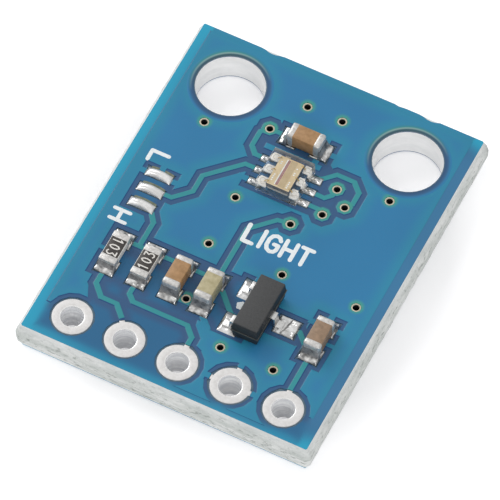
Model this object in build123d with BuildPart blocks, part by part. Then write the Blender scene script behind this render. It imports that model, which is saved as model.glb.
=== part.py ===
"""Light sensor module: a snapped-out two-layer board with its parts soldered on the top face.

Plan places are measured from the middle header hole: x along the header row, y towards
the mounting holes. Heights are measured from the underside, where the board rests.
"""

from build123d import *
from math import cos, radians, sin
import os

os.makedirs("parts", exist_ok=True)

# Board, as printed between the scored lines
board_w = 13.73
board_l = 17.62
laminate_t = 1.50
score_depth = 0.52          # depth of each scored groove in the laminate
score_run = 0.267           # the snapped web stands this far out of the printed face
web_corner = 0.22           # the web's corners broke off
face_corner = 0.05

# Copper, solder mask and the holes' plating
copper_t = 0.035
mask_over_copper = 0.015
mask_gap = 0.05             # mask opening beyond a pad
track_w = 0.20
clearance = 0.28            # between the ground copper and any other net
pour_side_inset = 0.46
pour_end_inset = 0.25
spoke_w = 0.25              # thermal spoke of a ground pad

# Header row
header_count = 5
header_pitch = 2.54
header_edge = 1.37          # from the front printed edge to the row
header_hole_d = 1.02
header_ring_r = 0.90
header_wall = 0.04
header_mask_gap = 0.08
ring_sides = 16             # round copper and its openings have flat sides, to keep faces few

# Mounting holes
mount_hole_d = 3.152
mount_pitch = 8.69
mount_edge = 2.46           # from the back printed edge
mount_keepout = 0.29        # ring without copper round each hole

# Vias
via_hole_d = 0.30
via_ring_d = 0.44           # bare ring round the hole, where the mask stands back
via_land_d = 0.66
via_proud = 0.010
via_sides = 8

# Chip parts, 0603
chip_l = 1.60
chip_w = 0.80
chip_pad_w = 0.90
chip_pad_l = 0.80
chip_pad_pitch = 1.53
chip_lift = 0.02            # solder film under a part
terminal_l = 0.32
terminal_t = 0.02
resistor_t = 0.45
overcoat_t = 0.03
overcoat_inset = 0.04
capacitor_t = 0.80
capacitor_bevel = 0.06      # broken edge of a dipped terminal
resistor_bevel = 0.03
fillet_share = 0.72         # how high the solder climbs an end
fillet_toe_t = 0.05         # solder left at the pad's outer edge
bulk_extra_t = 0.08         # the bulk capacitor is the taller of the row

# Regulator, three leads
reg_l = 2.90
reg_w = 1.30
reg_t = 1.05
reg_standoff = 0.06
reg_draft = 8.0
reg_span = 2.40             # across the lead tips
reg_lead_pitch = 1.90
reg_lead_w = 0.40
reg_lead_t = 0.12
reg_foot_l = 0.36
reg_knee_run = 0.05         # lean of a lead's drop
reg_bevel = 0.04
reg_lead_sink = 0.15        # length of lead inside the moulding
reg_pad_w = 0.90
reg_pad_l = 1.00
reg_coat_t = 0.07
coat_slope = 30             # side of a solder coat, from upright

# Light sensor, clear moulding
sensor_w = 2.00
sensor_l = 2.00
sensor_t = 0.72
sensor_draft = 2.0
sensor_pitch = 0.65
sensor_lead_t = 0.10
sensor_lead_w = 0.30
sensor_inner_l = 0.42       # inner pad, along the pitch
sensor_wall = 0.10          # resin outside the inner pads
sensor_reach = 1.32         # lead tip from the sensor's middle
sensor_rise = 0.20          # the inner pads stand this far above the feet
sensor_pad_l = 0.62
sensor_pad_w = 0.34
sensor_toe = 0.12           # pad beyond the lead's tip
die_w = 1.08
die_l = 1.55
die_t = 0.18
inner_gap = 0.04            # between the die's edge and the inner pads
paddle_w = 1.00
paddle_l = 1.60
tie_bar_x = -0.28
tie_bar_w = 0.24
tie_bar_l = 0.12
wire_d = 0.03
wire_inset = 0.07
wire_loop = 0.06
wire_peak = 0.45            # share of the span where a wire is highest
sensor_coat_t = 0.12

# Address jumper
jumper_pad_w = 1.18
jumper_pad_l = 0.43
jumper_pitch = 0.85
jumper_dome = 0.17
jumper_slope = 25
jumper_bevel = 0.06

# Plan places, from the middle header hole
chip_row_y = 3.735
resistor_x = (-4.93, -3.40)
row_capacitor_x = (-1.87, -0.35)
input_capacitor_x = 4.93
sensor_capacitor = (-0.01, 12.53)
sensor_at = (0.0, 10.42)
jumper_at = (-5.01, 7.315)
reg_at = (2.08, 3.66)
reg_left_pad_x = 1.27
reg_right_pad_x = 3.40
reg_pad_y = 3.75
supply_via = (1.20, 8.53)
sensor_supply_via = (-1.80, 12.57)
sda_via = (2.93, 10.37)
int_via = (2.22, 11.07)
scl_via = (2.22, 9.60)
signal_vias = (supply_via, sensor_supply_via, sda_via, int_via, scl_via)
link_via = (-1.12, 3.05)
ground_vias = (
    (-4.52, 11.57), (-0.83, 14.35), (0.87, 14.35), (4.53, 11.57), (-1.55, 8.68),
    (-1.52, 6.02), (2.03, 6.03), (5.62, 6.00), (1.30, 1.52), (3.83, 1.53), link_via,
)

# Heights and lines that follow from the sizes above
film_t = copper_t + mask_over_copper
laminate_z0 = film_t
laminate_z1 = laminate_z0 + laminate_t
pad_z = laminate_z1 + copper_t
board_t = laminate_z1 + film_t
seat_z = pad_z + chip_lift
header_y = -board_l / 2 + header_edge
mount_y = board_l / 2 - mount_edge - header_y
header_x = [header_pitch * (i - (header_count - 1) / 2) for i in range(header_count)]
int_x, sda_x, scl_x, gnd_x, vcc_x = header_x
header_places = [(x, 0) for x in header_x]
mount_places = [(side * mount_pitch / 2, mount_y) for side in (-1, 1)]
via_places = signal_vias + ground_vias
chip_low_y = chip_row_y - chip_pad_pitch / 2
chip_high_y = chip_row_y + chip_pad_pitch / 2
header_open_r = header_ring_r + header_mask_gap
front_y = -header_edge + pour_end_inset
back_y = board_l - header_edge - pour_end_inset
side_x = board_w / 2 - pour_side_inset


def save(piece, name):
    """Label a finished piece and write it."""
    piece.label = name
    export_step(piece, f"parts/{name}.step")


def over(height):
    """The plan plane at a height above the underside."""
    return Plane((0, header_y, height))


# Copper layout
# Each net is (routes, pads, lands): centre lines, (x, y, width, length) and (x, y).

sensor_pin_y = [sensor_at[1] + sensor_pitch * i for i in (1, 0, -1)]
sensor_pad_x = sensor_reach + sensor_toe - sensor_pad_l / 2


def sensor_pad(side, row):
    """Pad of one sensor lead; side -1 or 1, row 0 at the back."""
    return (sensor_at[0] + side * sensor_pad_x, sensor_pin_y[row], sensor_pad_l, sensor_pad_w)


def chip_pad(x, y):
    """Pad of a chip part that stands along Y."""
    return (x, y, chip_pad_w, chip_pad_l)


def cross_pad(side):
    """Pad of the sensor's capacitor, which lies along X."""
    x = sensor_capacitor[0] + side * chip_pad_pitch / 2
    return (x, sensor_capacitor[1], chip_pad_l, chip_pad_w)


def jumper_pad(row):
    """Pad of the address jumper, row 1 at the back, 0 in the middle, -1 in front."""
    return (jumper_at[0], jumper_at[1] + row * jumper_pitch, jumper_pad_w, jumper_pad_l)


def reg_left_pad(side):
    """Pad under one of the regulator's two leads on the left."""
    return (reg_left_pad_x, reg_pad_y + side * reg_lead_pitch / 2, reg_pad_l, reg_pad_w)


reg_right_pad = (reg_right_pad_x, reg_pad_y, reg_pad_l, reg_pad_w)
left_pin_x = sensor_at[0] - sensor_pad_x
right_pin_x = sensor_at[0] + sensor_pad_x
address_x = -3.32
riser_x = row_capacitor_x[1]
high_feed_x = -4.12

supply_net = (
    [
        [(resistor_x[0], chip_high_y), (riser_x, chip_high_y)],
        [(high_feed_x, chip_high_y), (high_feed_x, 5.85), (-4.45, 6.30), (-4.80, 6.46)],
        [(riser_x, chip_high_y), (riser_x, 7.45), (0.62, 8.45), supply_via],
        [(riser_x, chip_high_y), (0.05, 4.17), (reg_left_pad_x - 0.30, 3.22)],
    ],
    [chip_pad(x, chip_high_y) for x in resistor_x + row_capacitor_x]
    + [reg_left_pad(-1), jumper_pad(-1)],
    [supply_via],
)
sensor_supply_net = (
    [
        [(left_pin_x, sensor_pin_y[0]), (-1.78, sensor_pin_y[0]), (-2.10, 11.42), (-2.10, 12.25),
         sensor_supply_via],
        [sensor_supply_via, (sensor_capacitor[0] - chip_pad_pitch / 2, sensor_capacitor[1])],
    ],
    [sensor_pad(-1, 0), cross_pad(-1)],
    [sensor_supply_via],
)
address_net = (
    [[(left_pin_x, sensor_pin_y[1]), (-1.93, sensor_pin_y[1]), (address_x, 9.02),
      (address_x, 8.10), (-4.02, 7.38), (-4.60, 7.38)]],
    [sensor_pad(-1, 1), jumper_pad(0)],
    [],
)
fan_out_nets = (
    ([[(right_pin_x, sensor_pin_y[0] + 0.05), (1.42, 11.25), (1.90, 11.74), (2.74, 11.74),
       (3.17, 11.31), (3.17, 10.66), sda_via]], [sensor_pad(1, 0)], [sda_via]),
    ([[(right_pin_x, sensor_pin_y[1]), (1.92, sensor_pin_y[1] - 0.02), (2.19, 10.69), int_via]],
     [sensor_pad(1, 1)], [int_via]),
    ([[(right_pin_x, sensor_pin_y[2]), (1.92, sensor_pin_y[2]), scl_via]],
     [sensor_pad(1, 2)], [scl_via]),
)
sda_net = (
    [[(resistor_x[0], chip_low_y), (resistor_x[0], 1.98), (-4.42, 1.44), (-3.66, 1.44),
      (sda_x - 0.60, 0.90)]],
    [chip_pad(resistor_x[0], chip_low_y)],
    [],
)
scl_net = (
    [[(resistor_x[1], chip_low_y), (resistor_x[1], 2.15), (-3.08, 1.85), (-0.45, 1.85),
      (scl_x, 1.38), (scl_x, header_ring_r)]],
    [chip_pad(resistor_x[1], chip_low_y)],
    [],
)
vcc_net = (
    [
        [(input_capacitor_x, chip_low_y), (input_capacitor_x, header_ring_r)],
        [(reg_right_pad_x, reg_pad_y), (4.02, reg_pad_y), (4.62, 3.17)],
    ],
    [chip_pad(input_capacitor_x, chip_low_y), reg_right_pad],
    [],
)
top_nets = (supply_net, sensor_supply_net, address_net, sda_net, scl_net, vcc_net) + fan_out_nets

bus_step = 0.36             # spacing of the three parallel signal tracks on the underside
bus_x = 1.79
under_nets = {
    "supply_track_under": (
        [[supply_via, (sensor_supply_via[0], 11.53), sensor_supply_via]],
        [], [supply_via, sensor_supply_via]),
    "int_track_under": (
        [[int_via, (1.80, 11.07), (1.26, 10.53), (1.26, 9.40), (bus_x, 8.87), (bus_x, 7.90),
          (int_x, 7.90 - bus_x + int_x), (int_x, header_ring_r)]], [], [int_via]),
    "sda_track_under": (
        [[sda_via, (2.19, 10.37), (1.62, 9.80), (1.62, 9.40), (bus_x + bus_step, 8.87),
          (bus_x + bus_step, 7.62), (sda_x, 7.62 - bus_x - bus_step + sda_x),
          (sda_x, header_ring_r)]], [], [sda_via]),
    "scl_track_under": (
        [[scl_via, (bus_x + 2 * bus_step, 9.31), (bus_x + 2 * bus_step, 7.34),
          (scl_x, 7.34 - bus_x - 2 * bus_step + scl_x), (scl_x, header_ring_r)]],
        [], [scl_via]),
}

ground_pads = [
    jumper_pad(1), cross_pad(1), sensor_pad(-1, 2), reg_left_pad(1),
    chip_pad(row_capacitor_x[0], chip_low_y), chip_pad(row_capacitor_x[1], chip_low_y),
    chip_pad(input_capacitor_x, chip_high_y),
]
stub_y = sensor_pin_y[0] + 0.63
spoke_reach = clearance + 0.10
top_spokes = [
    [(jumper_at[0] - jumper_pad_w / 2 - spoke_reach, 8.10), (jumper_at[0], 8.10)],
    [(jumper_at[0], 8.12), (jumper_at[0] + jumper_pad_w / 2 + spoke_reach, 8.12)],
    [jumper_pad(1)[:2], (jumper_at[0], jumper_pad(1)[1] + jumper_pad_l / 2 + spoke_reach)],
    [cross_pad(1)[:2], (cross_pad(1)[0] + chip_pad_l / 2 + spoke_reach, cross_pad(1)[1])],
    [cross_pad(1)[:2], (cross_pad(1)[0], cross_pad(1)[1] + chip_pad_w / 2 + spoke_reach)],
    [cross_pad(1)[:2], (cross_pad(1)[0], stub_y)],
    [(-1.58, stub_y), (1.10, stub_y)],
    [sensor_pad(-1, 2)[:2], (-1.95, sensor_pin_y[2])],
    [reg_left_pad(1)[:2], (reg_left_pad_x, reg_left_pad(1)[1] + reg_pad_w / 2 + spoke_reach)],
    [(row_capacitor_x[0], 2.90), (row_capacitor_x[1], 2.90)],
    [(row_capacitor_x[1], 2.90), (0.42, 2.02)],
    [(input_capacitor_x, chip_high_y),
     (input_capacitor_x, chip_high_y + chip_pad_l / 2 + spoke_reach)],
    [(input_capacitor_x - chip_pad_w / 2 - spoke_reach, chip_high_y),
     (input_capacitor_x + chip_pad_w / 2 + spoke_reach, chip_high_y)],
    [(gnd_x, header_ring_r), (gnd_x, header_ring_r + spoke_reach)],
    [(gnd_x - header_ring_r - spoke_reach, 0.03), (gnd_x - header_ring_r, 0.03)],
    [(gnd_x + header_ring_r, 0.03), (gnd_x + header_ring_r + spoke_reach, 0.03)],
]
under_spokes = [
    [(gnd_x + 0.1, 0.0), (gnd_x + header_ring_r + spoke_reach, 0.0)],
    [(gnd_x - header_ring_r - spoke_reach, 0.0), (gnd_x - 0.1, 0.0)],
    [(gnd_x, 0.1), (gnd_x, header_ring_r + spoke_reach)],
]
# Areas of the top face that the ground copper leaves bare, besides each net's clearance
sensor_area = [
    (-1.72, 9.27), (1.60, 9.27), (2.22, 9.40), (2.93, 10.10), (3.17, 10.66), (3.17, 11.31),
    (2.74, 11.74), (1.90, 11.74), (1.42, 12.10), (0.90, 12.40), (-1.10, 12.60),
    (-1.80, 12.57), (-2.10, 12.25), (-2.10, 11.42), (-1.72, 11.00),
]
beside_track = track_w / 2 + clearance
row_left_x = resistor_x[0] - beside_track
row_back_y = chip_high_y + chip_pad_l / 2 + clearance
outside_y = -2 * header_edge
row_area = [
    (row_left_x, row_back_y), (0.50, row_back_y), (1.38, 5.00), (1.38, 2.30), (0.52, 2.12),
    (0.10, 2.60), (-0.16, 2.28), (scl_x, 1.38), (scl_x, outside_y), (-board_w / 2, outside_y),
    (-board_w / 2, 0.24), (int_x, 0.24), (int_x + 0.13, 1.15), (row_left_x, 1.95),
]
bus_area = [
    (1.26, 10.53), (1.80, 11.07), (2.22, 11.07), (2.93, 10.37), (bus_x + 2 * bus_step, 9.31),
    (bus_x + 2 * bus_step, 7.34), (scl_x, 7.34 - bus_x - 2 * bus_step + scl_x),
    (scl_x, outside_y), (int_x, outside_y), (int_x, 7.90 - bus_x + int_x),
    (bus_x, 7.90), (bus_x, 8.87), (1.26, 9.40),
]
front_corner_area = [
    (vcc_x, 0.15), (board_w / 2, 0.15), (board_w / 2, outside_y), (vcc_x - 0.30, outside_y),
]


def strip(route, width):
    """A strip along a route, with mitred bends and square ends, added to the open sketch."""
    points = [Vector(*point) for point in route]
    runs = [(end - start).normalized() for start, end in zip(points, points[1:])]
    edge = []
    for point, before, after in zip(points, runs[:1] + runs, runs + runs[-1:]):
        across = (before + after).normalized().rotate(Axis.Z, 90)
        reach = width / 2 / across.dot(before.rotate(Axis.Z, 90))
        edge.append((point + across * reach, point - across * reach))
    with BuildLine() as outline:
        Polyline(*[left for left, right in edge], *[right for left, right in reversed(edge)],
                 close=True)
    make_face(outline.edges())


def discs(places, radius, sides=0, mode=Mode.SUBTRACT):
    """Circles at several places, or polygons whose flats stand at that radius."""
    with Locations(*places):
        if sides:
            RegularPolygon(radius, sides, major_radius=False, rotation=180 / sides, mode=mode)
        else:
            Circle(radius, mode=mode)


def draw_net(net, grow=0.0, mode=Mode.ADD):
    """Tracks, pads and via lands of one net, grown all round, in the open sketch."""
    routes, pads, lands = net
    with BuildSketch(mode=Mode.PRIVATE) as shape:
        for route in routes:
            strip(route, track_w + 2 * grow)
        for x, y, w, l in pads:
            with Locations((x, y)):
                Rectangle(w + 2 * grow, l + 2 * grow)
        if lands:
            discs(lands, via_land_d / 2 + grow, via_sides, Mode.ADD)
    add(shape.sketch, mode=mode)


def pour_sketch(nets, spokes, pads, areas):
    """Ground copper: a field cut back from every other net, with its spokes and pads."""
    middle_y = (front_y + back_y) / 2
    with BuildSketch(mode=Mode.PRIVATE) as field:
        with Locations((0, middle_y)):
            Rectangle(2 * side_x, back_y - front_y)
        for net in nets:
            draw_net(net, clearance, Mode.SUBTRACT)
        discs(header_places, header_ring_r + clearance, ring_sides)
        discs(mount_places, mount_hole_d / 2 + mount_keepout, ring_sides)
        for x, y, w, l in pads:
            with Locations((x, y)):
                Rectangle(w + 2 * clearance, l + 2 * clearance, mode=Mode.SUBTRACT)
        for area in areas:
            with BuildLine():
                Polyline(*area, close=True)
            make_face(mode=Mode.SUBTRACT)
        for spoke in spokes:
            strip(spoke, spoke_w)
        for x, y, w, l in pads:
            with Locations((x, y)):
                Rectangle(w, l)
    return field.sketch


def draw_board(run, corner):
    """The board's outline, standing out by a run past the printed face."""
    with BuildSketch(mode=Mode.PRIVATE) as outline:
        with Locations((0, -header_y)):
            Rectangle(board_w + 2 * run, board_l + 2 * run)
        chamfer(outline.vertices(), corner)
    add(outline.sketch)


# Laminate, snapped along the scored grooves
with BuildPart() as laminate:
    with BuildSketch(over(laminate_z0 + score_depth)):
        draw_board(score_run, web_corner)
    extrude(amount=laminate_t - 2 * score_depth)
    for face_z, root_z in (
        (laminate_z0, laminate_z0 + score_depth), (laminate_z1, laminate_z1 - score_depth)
    ):
        with BuildSketch(over(root_z)):
            draw_board(score_run, web_corner)
        with BuildSketch(over(face_z)):
            draw_board(0, face_corner)
        loft(ruled=True)
    with BuildSketch(over(laminate_z0)):
        discs(via_places, via_ring_d / 2, via_sides, Mode.ADD)
        discs(header_places, header_hole_d / 2 + header_wall, ring_sides, Mode.ADD)
        discs(mount_places, mount_hole_d / 2, mode=Mode.ADD)
    extrude(amount=laminate_t, mode=Mode.SUBTRACT)
save(laminate.part, "laminate")


def copper_track(name, nets, plane):
    """One node of copper tracks, cut where the rings and barrels stand."""
    with BuildPart() as copper:
        with BuildSketch(plane):
            for net in nets:
                draw_net(net)
            discs(via_places, via_ring_d / 2, via_sides)
            discs(header_places, header_open_r, ring_sides)
        extrude(amount=copper_t)
    save(copper.part, name)


top_copper = over(laminate_z1)
under_copper = over(laminate_z0 - copper_t)
top_tracks = {
    "supply_track": [supply_net],
    "sensor_supply_track": [sensor_supply_net],
    "address_track": [address_net],
    "sensor_signal_tracks": list(fan_out_nets),
    "sda_track": [sda_net],
    "scl_track": [scl_net],
    "input_track": [vcc_net],
}
for name, nets in top_tracks.items():
    copper_track(name, nets, top_copper)
for name, net in under_nets.items():
    copper_track(name, [net], under_copper)


def ground_pour(name, plane, pour):
    """Ground copper of one face."""
    with BuildPart() as copper:
        with BuildSketch(plane):
            add(pour)
            discs(via_places, via_ring_d / 2, via_sides)
            discs(header_places, header_open_r, ring_sides)
        extrude(amount=copper_t)
    save(copper.part, name)


top_layout = (top_nets, top_spokes, ground_pads, [sensor_area, row_area, front_corner_area])
under_layout = (under_nets.values(), under_spokes, [], [bus_area])
top_pour = pour_sketch(*top_layout)
under_pour = pour_sketch(*under_layout)
ground_pour("ground_pour_top", top_copper, top_pour)
ground_pour("ground_pour_under", under_copper, under_pour)


def solder_mask(name, face_z, up, nets, pour, vias, pads):
    """Mask film of one face, flat outside, with the copper bedded in it."""
    with BuildPart() as mask:
        with BuildSketch(over(face_z)):
            draw_board(0, face_corner)
            discs(header_places, header_open_r, ring_sides)
            discs(mount_places, mount_hole_d / 2)
            if vias:
                discs(vias, via_ring_d / 2, via_sides)
            for x, y, w, l in pads:
                with Locations((x, y)):
                    Rectangle(w + 2 * mask_gap, l + 2 * mask_gap, mode=Mode.SUBTRACT)
        extrude(amount=up * film_t)
        with BuildSketch(over(face_z)):
            add(pour)
            discs(via_places, via_ring_d / 2, via_sides, Mode.ADD)
            for net in nets:
                draw_net(net)
        extrude(amount=up * copper_t, mode=Mode.SUBTRACT)
    save(mask.part, name)


net_pads = [pad for net in top_nets for pad in net[1]]
all_pads = net_pads + ground_pads
solder_mask("solder_mask_top", laminate_z1, 1, top_nets, top_pour, via_places, all_pads)
# The underside's mask runs over the vias
solder_mask("solder_mask_under", laminate_z0, -1, under_nets.values(), under_pour, [], [])


# Plated holes
def draw_ring(x, spurs):
    """Ring of one header hole with the bare ends of its tracks, at bearings in degrees."""
    for bearing in spurs:
        turn = radians(bearing)
        with Locations((x + header_open_r * cos(turn), header_open_r * sin(turn))):
            Rectangle(2 * header_mask_gap + header_wall, spoke_w, rotation=bearing)
    if spurs:
        discs([(x, 0)], header_open_r, ring_sides, Mode.INTERSECT)
    discs([(x, 0)], header_ring_r, ring_sides, Mode.ADD)


def header_sleeve(name, x, top_spurs, under_spurs):
    """Tinned barrel with a ring on both faces."""
    with BuildPart() as sleeve:
        with BuildSketch(over(0)):
            discs([(x, 0)], header_hole_d / 2 + header_wall, ring_sides, Mode.ADD)
        extrude(amount=board_t)
        for height, spurs in ((0, under_spurs), (laminate_z1, top_spurs)):
            with BuildSketch(over(height)):
                draw_ring(x, spurs)
            extrude(amount=film_t)
        with BuildSketch(over(0)):
            discs([(x, 0)], header_hole_d / 2, mode=Mode.ADD)
        extrude(amount=board_t, mode=Mode.SUBTRACT)
    save(sleeve.part, name)


header_sleeve("header_sleeve_interrupt", int_x, (), (90,))
header_sleeve("header_sleeve_data", sda_x, (124,), (90,))
header_sleeve("header_sleeve_clock", scl_x, (90,), (90,))
header_sleeve("header_sleeve_ground", gnd_x, (90, 2, 178), (0, 90, 180))
header_sleeve("header_sleeve_input", vcc_x, (99,), ())

with BuildPart() as via_barrels:
    with BuildSketch(over(laminate_z0 - copper_t)):
        discs(via_places, via_ring_d / 2, via_sides, Mode.ADD)
        discs(via_places, via_hole_d / 2, via_sides)
    extrude(amount=laminate_t + 2 * copper_t + via_proud)
save(via_barrels.part, "via_barrels")


# Chip parts
def chip_plane(at, turn):
    """Plane of a chip part on its solder film, X along the part."""
    x, y = at
    return Plane((x, header_y + y, seat_z), x_dir=(cos(radians(turn)), sin(radians(turn)), 0))


def chip_core(plane, height, bevel):
    """Ceramic core of a chip part, under its terminals by their thickness."""
    with BuildPart() as core:
        with BuildSketch(plane.offset(terminal_t)):
            Rectangle(chip_l - 2 * terminal_t, chip_w - 2 * terminal_t)
        extrude(amount=height - 2 * terminal_t)
        chamfer(core.edges(), bevel - terminal_t / 2)
    return core.part


def chip_terminals(plane, height, bevel, core):
    """Two dipped end caps round a chip's core."""
    with BuildPart() as caps:
        with BuildSketch(plane):
            Rectangle(chip_l, chip_w)
        extrude(amount=height)
        chamfer(caps.edges(), bevel)
        with BuildSketch(plane):
            Rectangle(chip_l - 2 * terminal_l, 2 * chip_w)
        extrude(amount=2 * height, both=True, mode=Mode.SUBTRACT)
        add(core, mode=Mode.SUBTRACT)
    return caps.part


def end_fillets(plane, height):
    """Concave solder from each pad's outer edge up the end of a chip part."""
    reach = (chip_pad_pitch + chip_pad_l - chip_l) / 2
    climb = fillet_share * height
    with BuildPart() as solder:
        for side in (-1, 1):
            face = Plane(
                plane.from_local_coords((side * chip_l / 2, 0, -chip_lift)),
                x_dir=plane.x_dir * side,
                z_dir=plane.y_dir * -side,
            )
            with BuildSketch(face):
                with BuildLine():
                    toe = (reach, 0)
                    top = (0, climb)
                    Line((0, 0), toe)
                    Line(toe, (reach, fillet_toe_t))
                    RadiusArc((reach, fillet_toe_t), top, 1.2 * climb + reach)
                    Line(top, (0, 0))
                make_face()
            extrude(amount=chip_pad_w / 2, both=True)
            with BuildSketch(Plane(plane.origin - Vector(0, 0, chip_lift), x_dir=plane.x_dir)):
                with Locations((side * (chip_l - terminal_l) / 2, 0)):
                    Rectangle(terminal_l, chip_w)
            extrude(amount=chip_lift)
    return solder.part


def chip_part(name, plane, height, bevel):
    """Core, terminals and solder of one chip part."""
    core = chip_core(plane, height, bevel)
    save(core, f"{name}_ceramic")
    save(chip_terminals(plane, height, bevel, core), f"{name}_terminals")
    save(end_fillets(plane, height), f"{name}_solder")


resistors = tuple(zip(("data_pull_up", "clock_pull_up"), resistor_x))
for name, x in resistors:
    plane = chip_plane((x, chip_row_y), 90)
    chip_part(name, plane, resistor_t, resistor_bevel)
    with BuildPart() as overcoat:
        with BuildSketch(plane.offset(resistor_t - terminal_t)):
            Rectangle(chip_l - 2 * terminal_l, chip_w - 2 * overcoat_inset)
        extrude(amount=overcoat_t)
    save(overcoat.part, f"{name}_overcoat")

capacitors = (
    ("output_capacitor", (row_capacitor_x[0], chip_row_y), 90, capacitor_t),
    ("bulk_capacitor", (row_capacitor_x[1], chip_row_y), 90, capacitor_t + bulk_extra_t),
    ("input_capacitor", (input_capacitor_x, chip_row_y), 90, capacitor_t),
    ("sensor_capacitor", sensor_capacitor, 0, capacitor_t),
)
for name, at, turn, height in capacitors:
    chip_part(name, chip_plane(at, turn), height, capacitor_bevel)


# Regulator
reg_plane = Plane((reg_at[0], header_y + reg_at[1], pad_z + chip_lift + reg_standoff))
reg_half = reg_t / 2


def reg_lead(side, y):
    """One bent lead: out of the moulding at half height, down, and a foot on its pad."""
    foot_z = -reg_standoff + reg_lead_t / 2
    tip = reg_span / 2
    with BuildPart() as lead:
        profile = Plane(
            reg_plane.from_local_coords((0, y, 0)), x_dir=(side, 0, 0), z_dir=(0, -side, 0)
        )
        with BuildSketch(profile):
            strip([
                (reg_w / 2 - reg_lead_sink, reg_half), (tip - reg_foot_l - reg_knee_run, reg_half),
                (tip - reg_foot_l, foot_z), (tip, foot_z),
            ], reg_lead_t)
        extrude(amount=reg_lead_w / 2, both=True)
    return lead.part


reg_lead_places = (
    ("regulator_ground_lead", -1, reg_lead_pitch / 2),
    ("regulator_output_lead", -1, -reg_lead_pitch / 2),
    ("regulator_input_lead", 1, 0),
)
reg_leads = {name: reg_lead(side, y) for name, side, y in reg_lead_places}
for name, lead in reg_leads.items():
    save(lead, name)

with BuildPart() as regulator_body:
    with BuildSketch(reg_plane.offset(reg_half)):
        Rectangle(reg_w, reg_l)
    extrude(amount=reg_half, taper=reg_draft)
    extrude(regulator_body.faces().sort_by(Axis.Z)[0], amount=reg_half, taper=reg_draft)
    chamfer(regulator_body.faces().sort_by(Axis.Z)[-1].edges(), reg_bevel)
    for lead in reg_leads.values():
        add(lead, mode=Mode.SUBTRACT)
save(regulator_body.part, "regulator_body")


def pad_coat(pads, height, taper):
    """Solder that coats pads, with sloped sides, in the open part."""
    for x, y, w, l in pads:
        with BuildSketch(over(pad_z)) as pad:
            with Locations((x, y)):
                Rectangle(w, l)
        extrude(pad.sketch, amount=height, taper=taper)


with BuildPart() as regulator_solder:
    pad_coat([reg_left_pad(-1), reg_left_pad(1), reg_right_pad], reg_coat_t, coat_slope)
    for lead in reg_leads.values():
        add(lead, mode=Mode.SUBTRACT)
save(regulator_solder.part, "regulator_solder")


# Light sensor
sensor_plane = Plane((sensor_at[0], header_y + sensor_at[1], seat_z))
inner_x = die_w / 2 + inner_gap
inner_z = sensor_rise


def sensor_lead(side, y):
    """One lead: a foot outside, a rise inside the moulding and a broad inner pad."""
    middle_t = sensor_lead_t / 2
    pad_w = sensor_w / 2 - sensor_wall - inner_x
    profile = Plane(
        sensor_plane.from_local_coords((0, y, 0)), x_dir=(side, 0, 0), z_dir=(0, -side, 0)
    )
    with BuildPart() as lead:
        with BuildSketch(profile):
            strip([
                (sensor_reach, middle_t), (sensor_w / 2 - sensor_wall + sensor_lead_t, middle_t),
                (sensor_w / 2 - sensor_wall, middle_t + inner_z),
                (sensor_w / 2 - 2 * sensor_wall, middle_t + inner_z),
            ], sensor_lead_t)
        extrude(amount=sensor_lead_w / 2, both=True)
        with BuildSketch(sensor_plane.offset(inner_z)):
            with Locations((side * (inner_x + pad_w / 2), y)):
                Rectangle(pad_w, sensor_inner_l)
        extrude(amount=sensor_lead_t)
    return lead.part


sensor_rows = [sensor_pitch * i for i in (-1, 0, 1)]
with BuildPart() as sensor_leads:
    for side in (-1, 1):
        for y in sensor_rows:
            add(sensor_lead(side, y))
save(sensor_leads.part, "sensor_leads")

with BuildPart() as sensor_paddle:
    with BuildSketch(sensor_plane.offset(inner_z)):
        Rectangle(paddle_w, paddle_l)
        with Locations((tie_bar_x, (paddle_l + tie_bar_l) / 2)):
            Rectangle(tie_bar_w, tie_bar_l)
    extrude(amount=sensor_lead_t)
save(sensor_paddle.part, "sensor_paddle")

die_z = inner_z + sensor_lead_t
with BuildPart() as sensor_die:
    with BuildSketch(sensor_plane.offset(die_z)):
        Rectangle(die_w, die_l)
    extrude(amount=die_t)
save(sensor_die.part, "sensor_die")

with BuildPart() as sensor_bond_wires:
    for side in (-1, 1):
        for y in sensor_rows:
            start = (side * (die_w / 2 - wire_inset), die_z + die_t)
            end = (side * (inner_x + wire_inset), die_z)
            rise = (start[0] + (end[0] - start[0]) * wire_peak, start[1] + wire_loop)
            profile = Plane(sensor_plane.from_local_coords((0, y, 0)), x_dir=(1, 0, 0), z_dir=(0, -1, 0))
            with BuildSketch(profile):
                strip([start, rise, end], wire_d)
            extrude(amount=wire_d / 2, both=True)
    add(sensor_die.part, mode=Mode.SUBTRACT)
    add(sensor_leads.part, mode=Mode.SUBTRACT)
save(sensor_bond_wires.part, "sensor_bond_wires")

with BuildPart() as sensor_resin:
    with BuildSketch(sensor_plane):
        Rectangle(sensor_w, sensor_l)
    extrude(amount=sensor_t, taper=sensor_draft)
    for inner in (sensor_leads, sensor_paddle, sensor_die, sensor_bond_wires):
        add(inner.part, mode=Mode.SUBTRACT)
save(sensor_resin.part, "sensor_resin")

with BuildPart() as sensor_solder:
    pad_coat([sensor_pad(side, row) for side in (-1, 1) for row in range(3)], sensor_coat_t, coat_slope)
    add(sensor_leads.part, mode=Mode.SUBTRACT)
    add(sensor_resin.part, mode=Mode.SUBTRACT)
save(sensor_solder.part, "sensor_solder")


# Address jumper
with BuildPart() as jumper_solder:
    for row in (-1, 0, 1):
        x, y, w, l = jumper_pad(row)
        with BuildSketch(over(pad_z)):
            with Locations((x, y)):
                Rectangle(w, l)
        extrude(amount=jumper_dome, taper=jumper_slope)
    chamfer(jumper_solder.faces().group_by(Axis.Z)[-1].edges(), jumper_bevel)
save(jumper_solder.part, "jumper_solder")
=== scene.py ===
"""Looks of a light sensor module: a small blue circuit board with its parts, under soft studio light.

Places are in millimetres from the middle header hole, heights from the board's underside.
"""

import math

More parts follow.
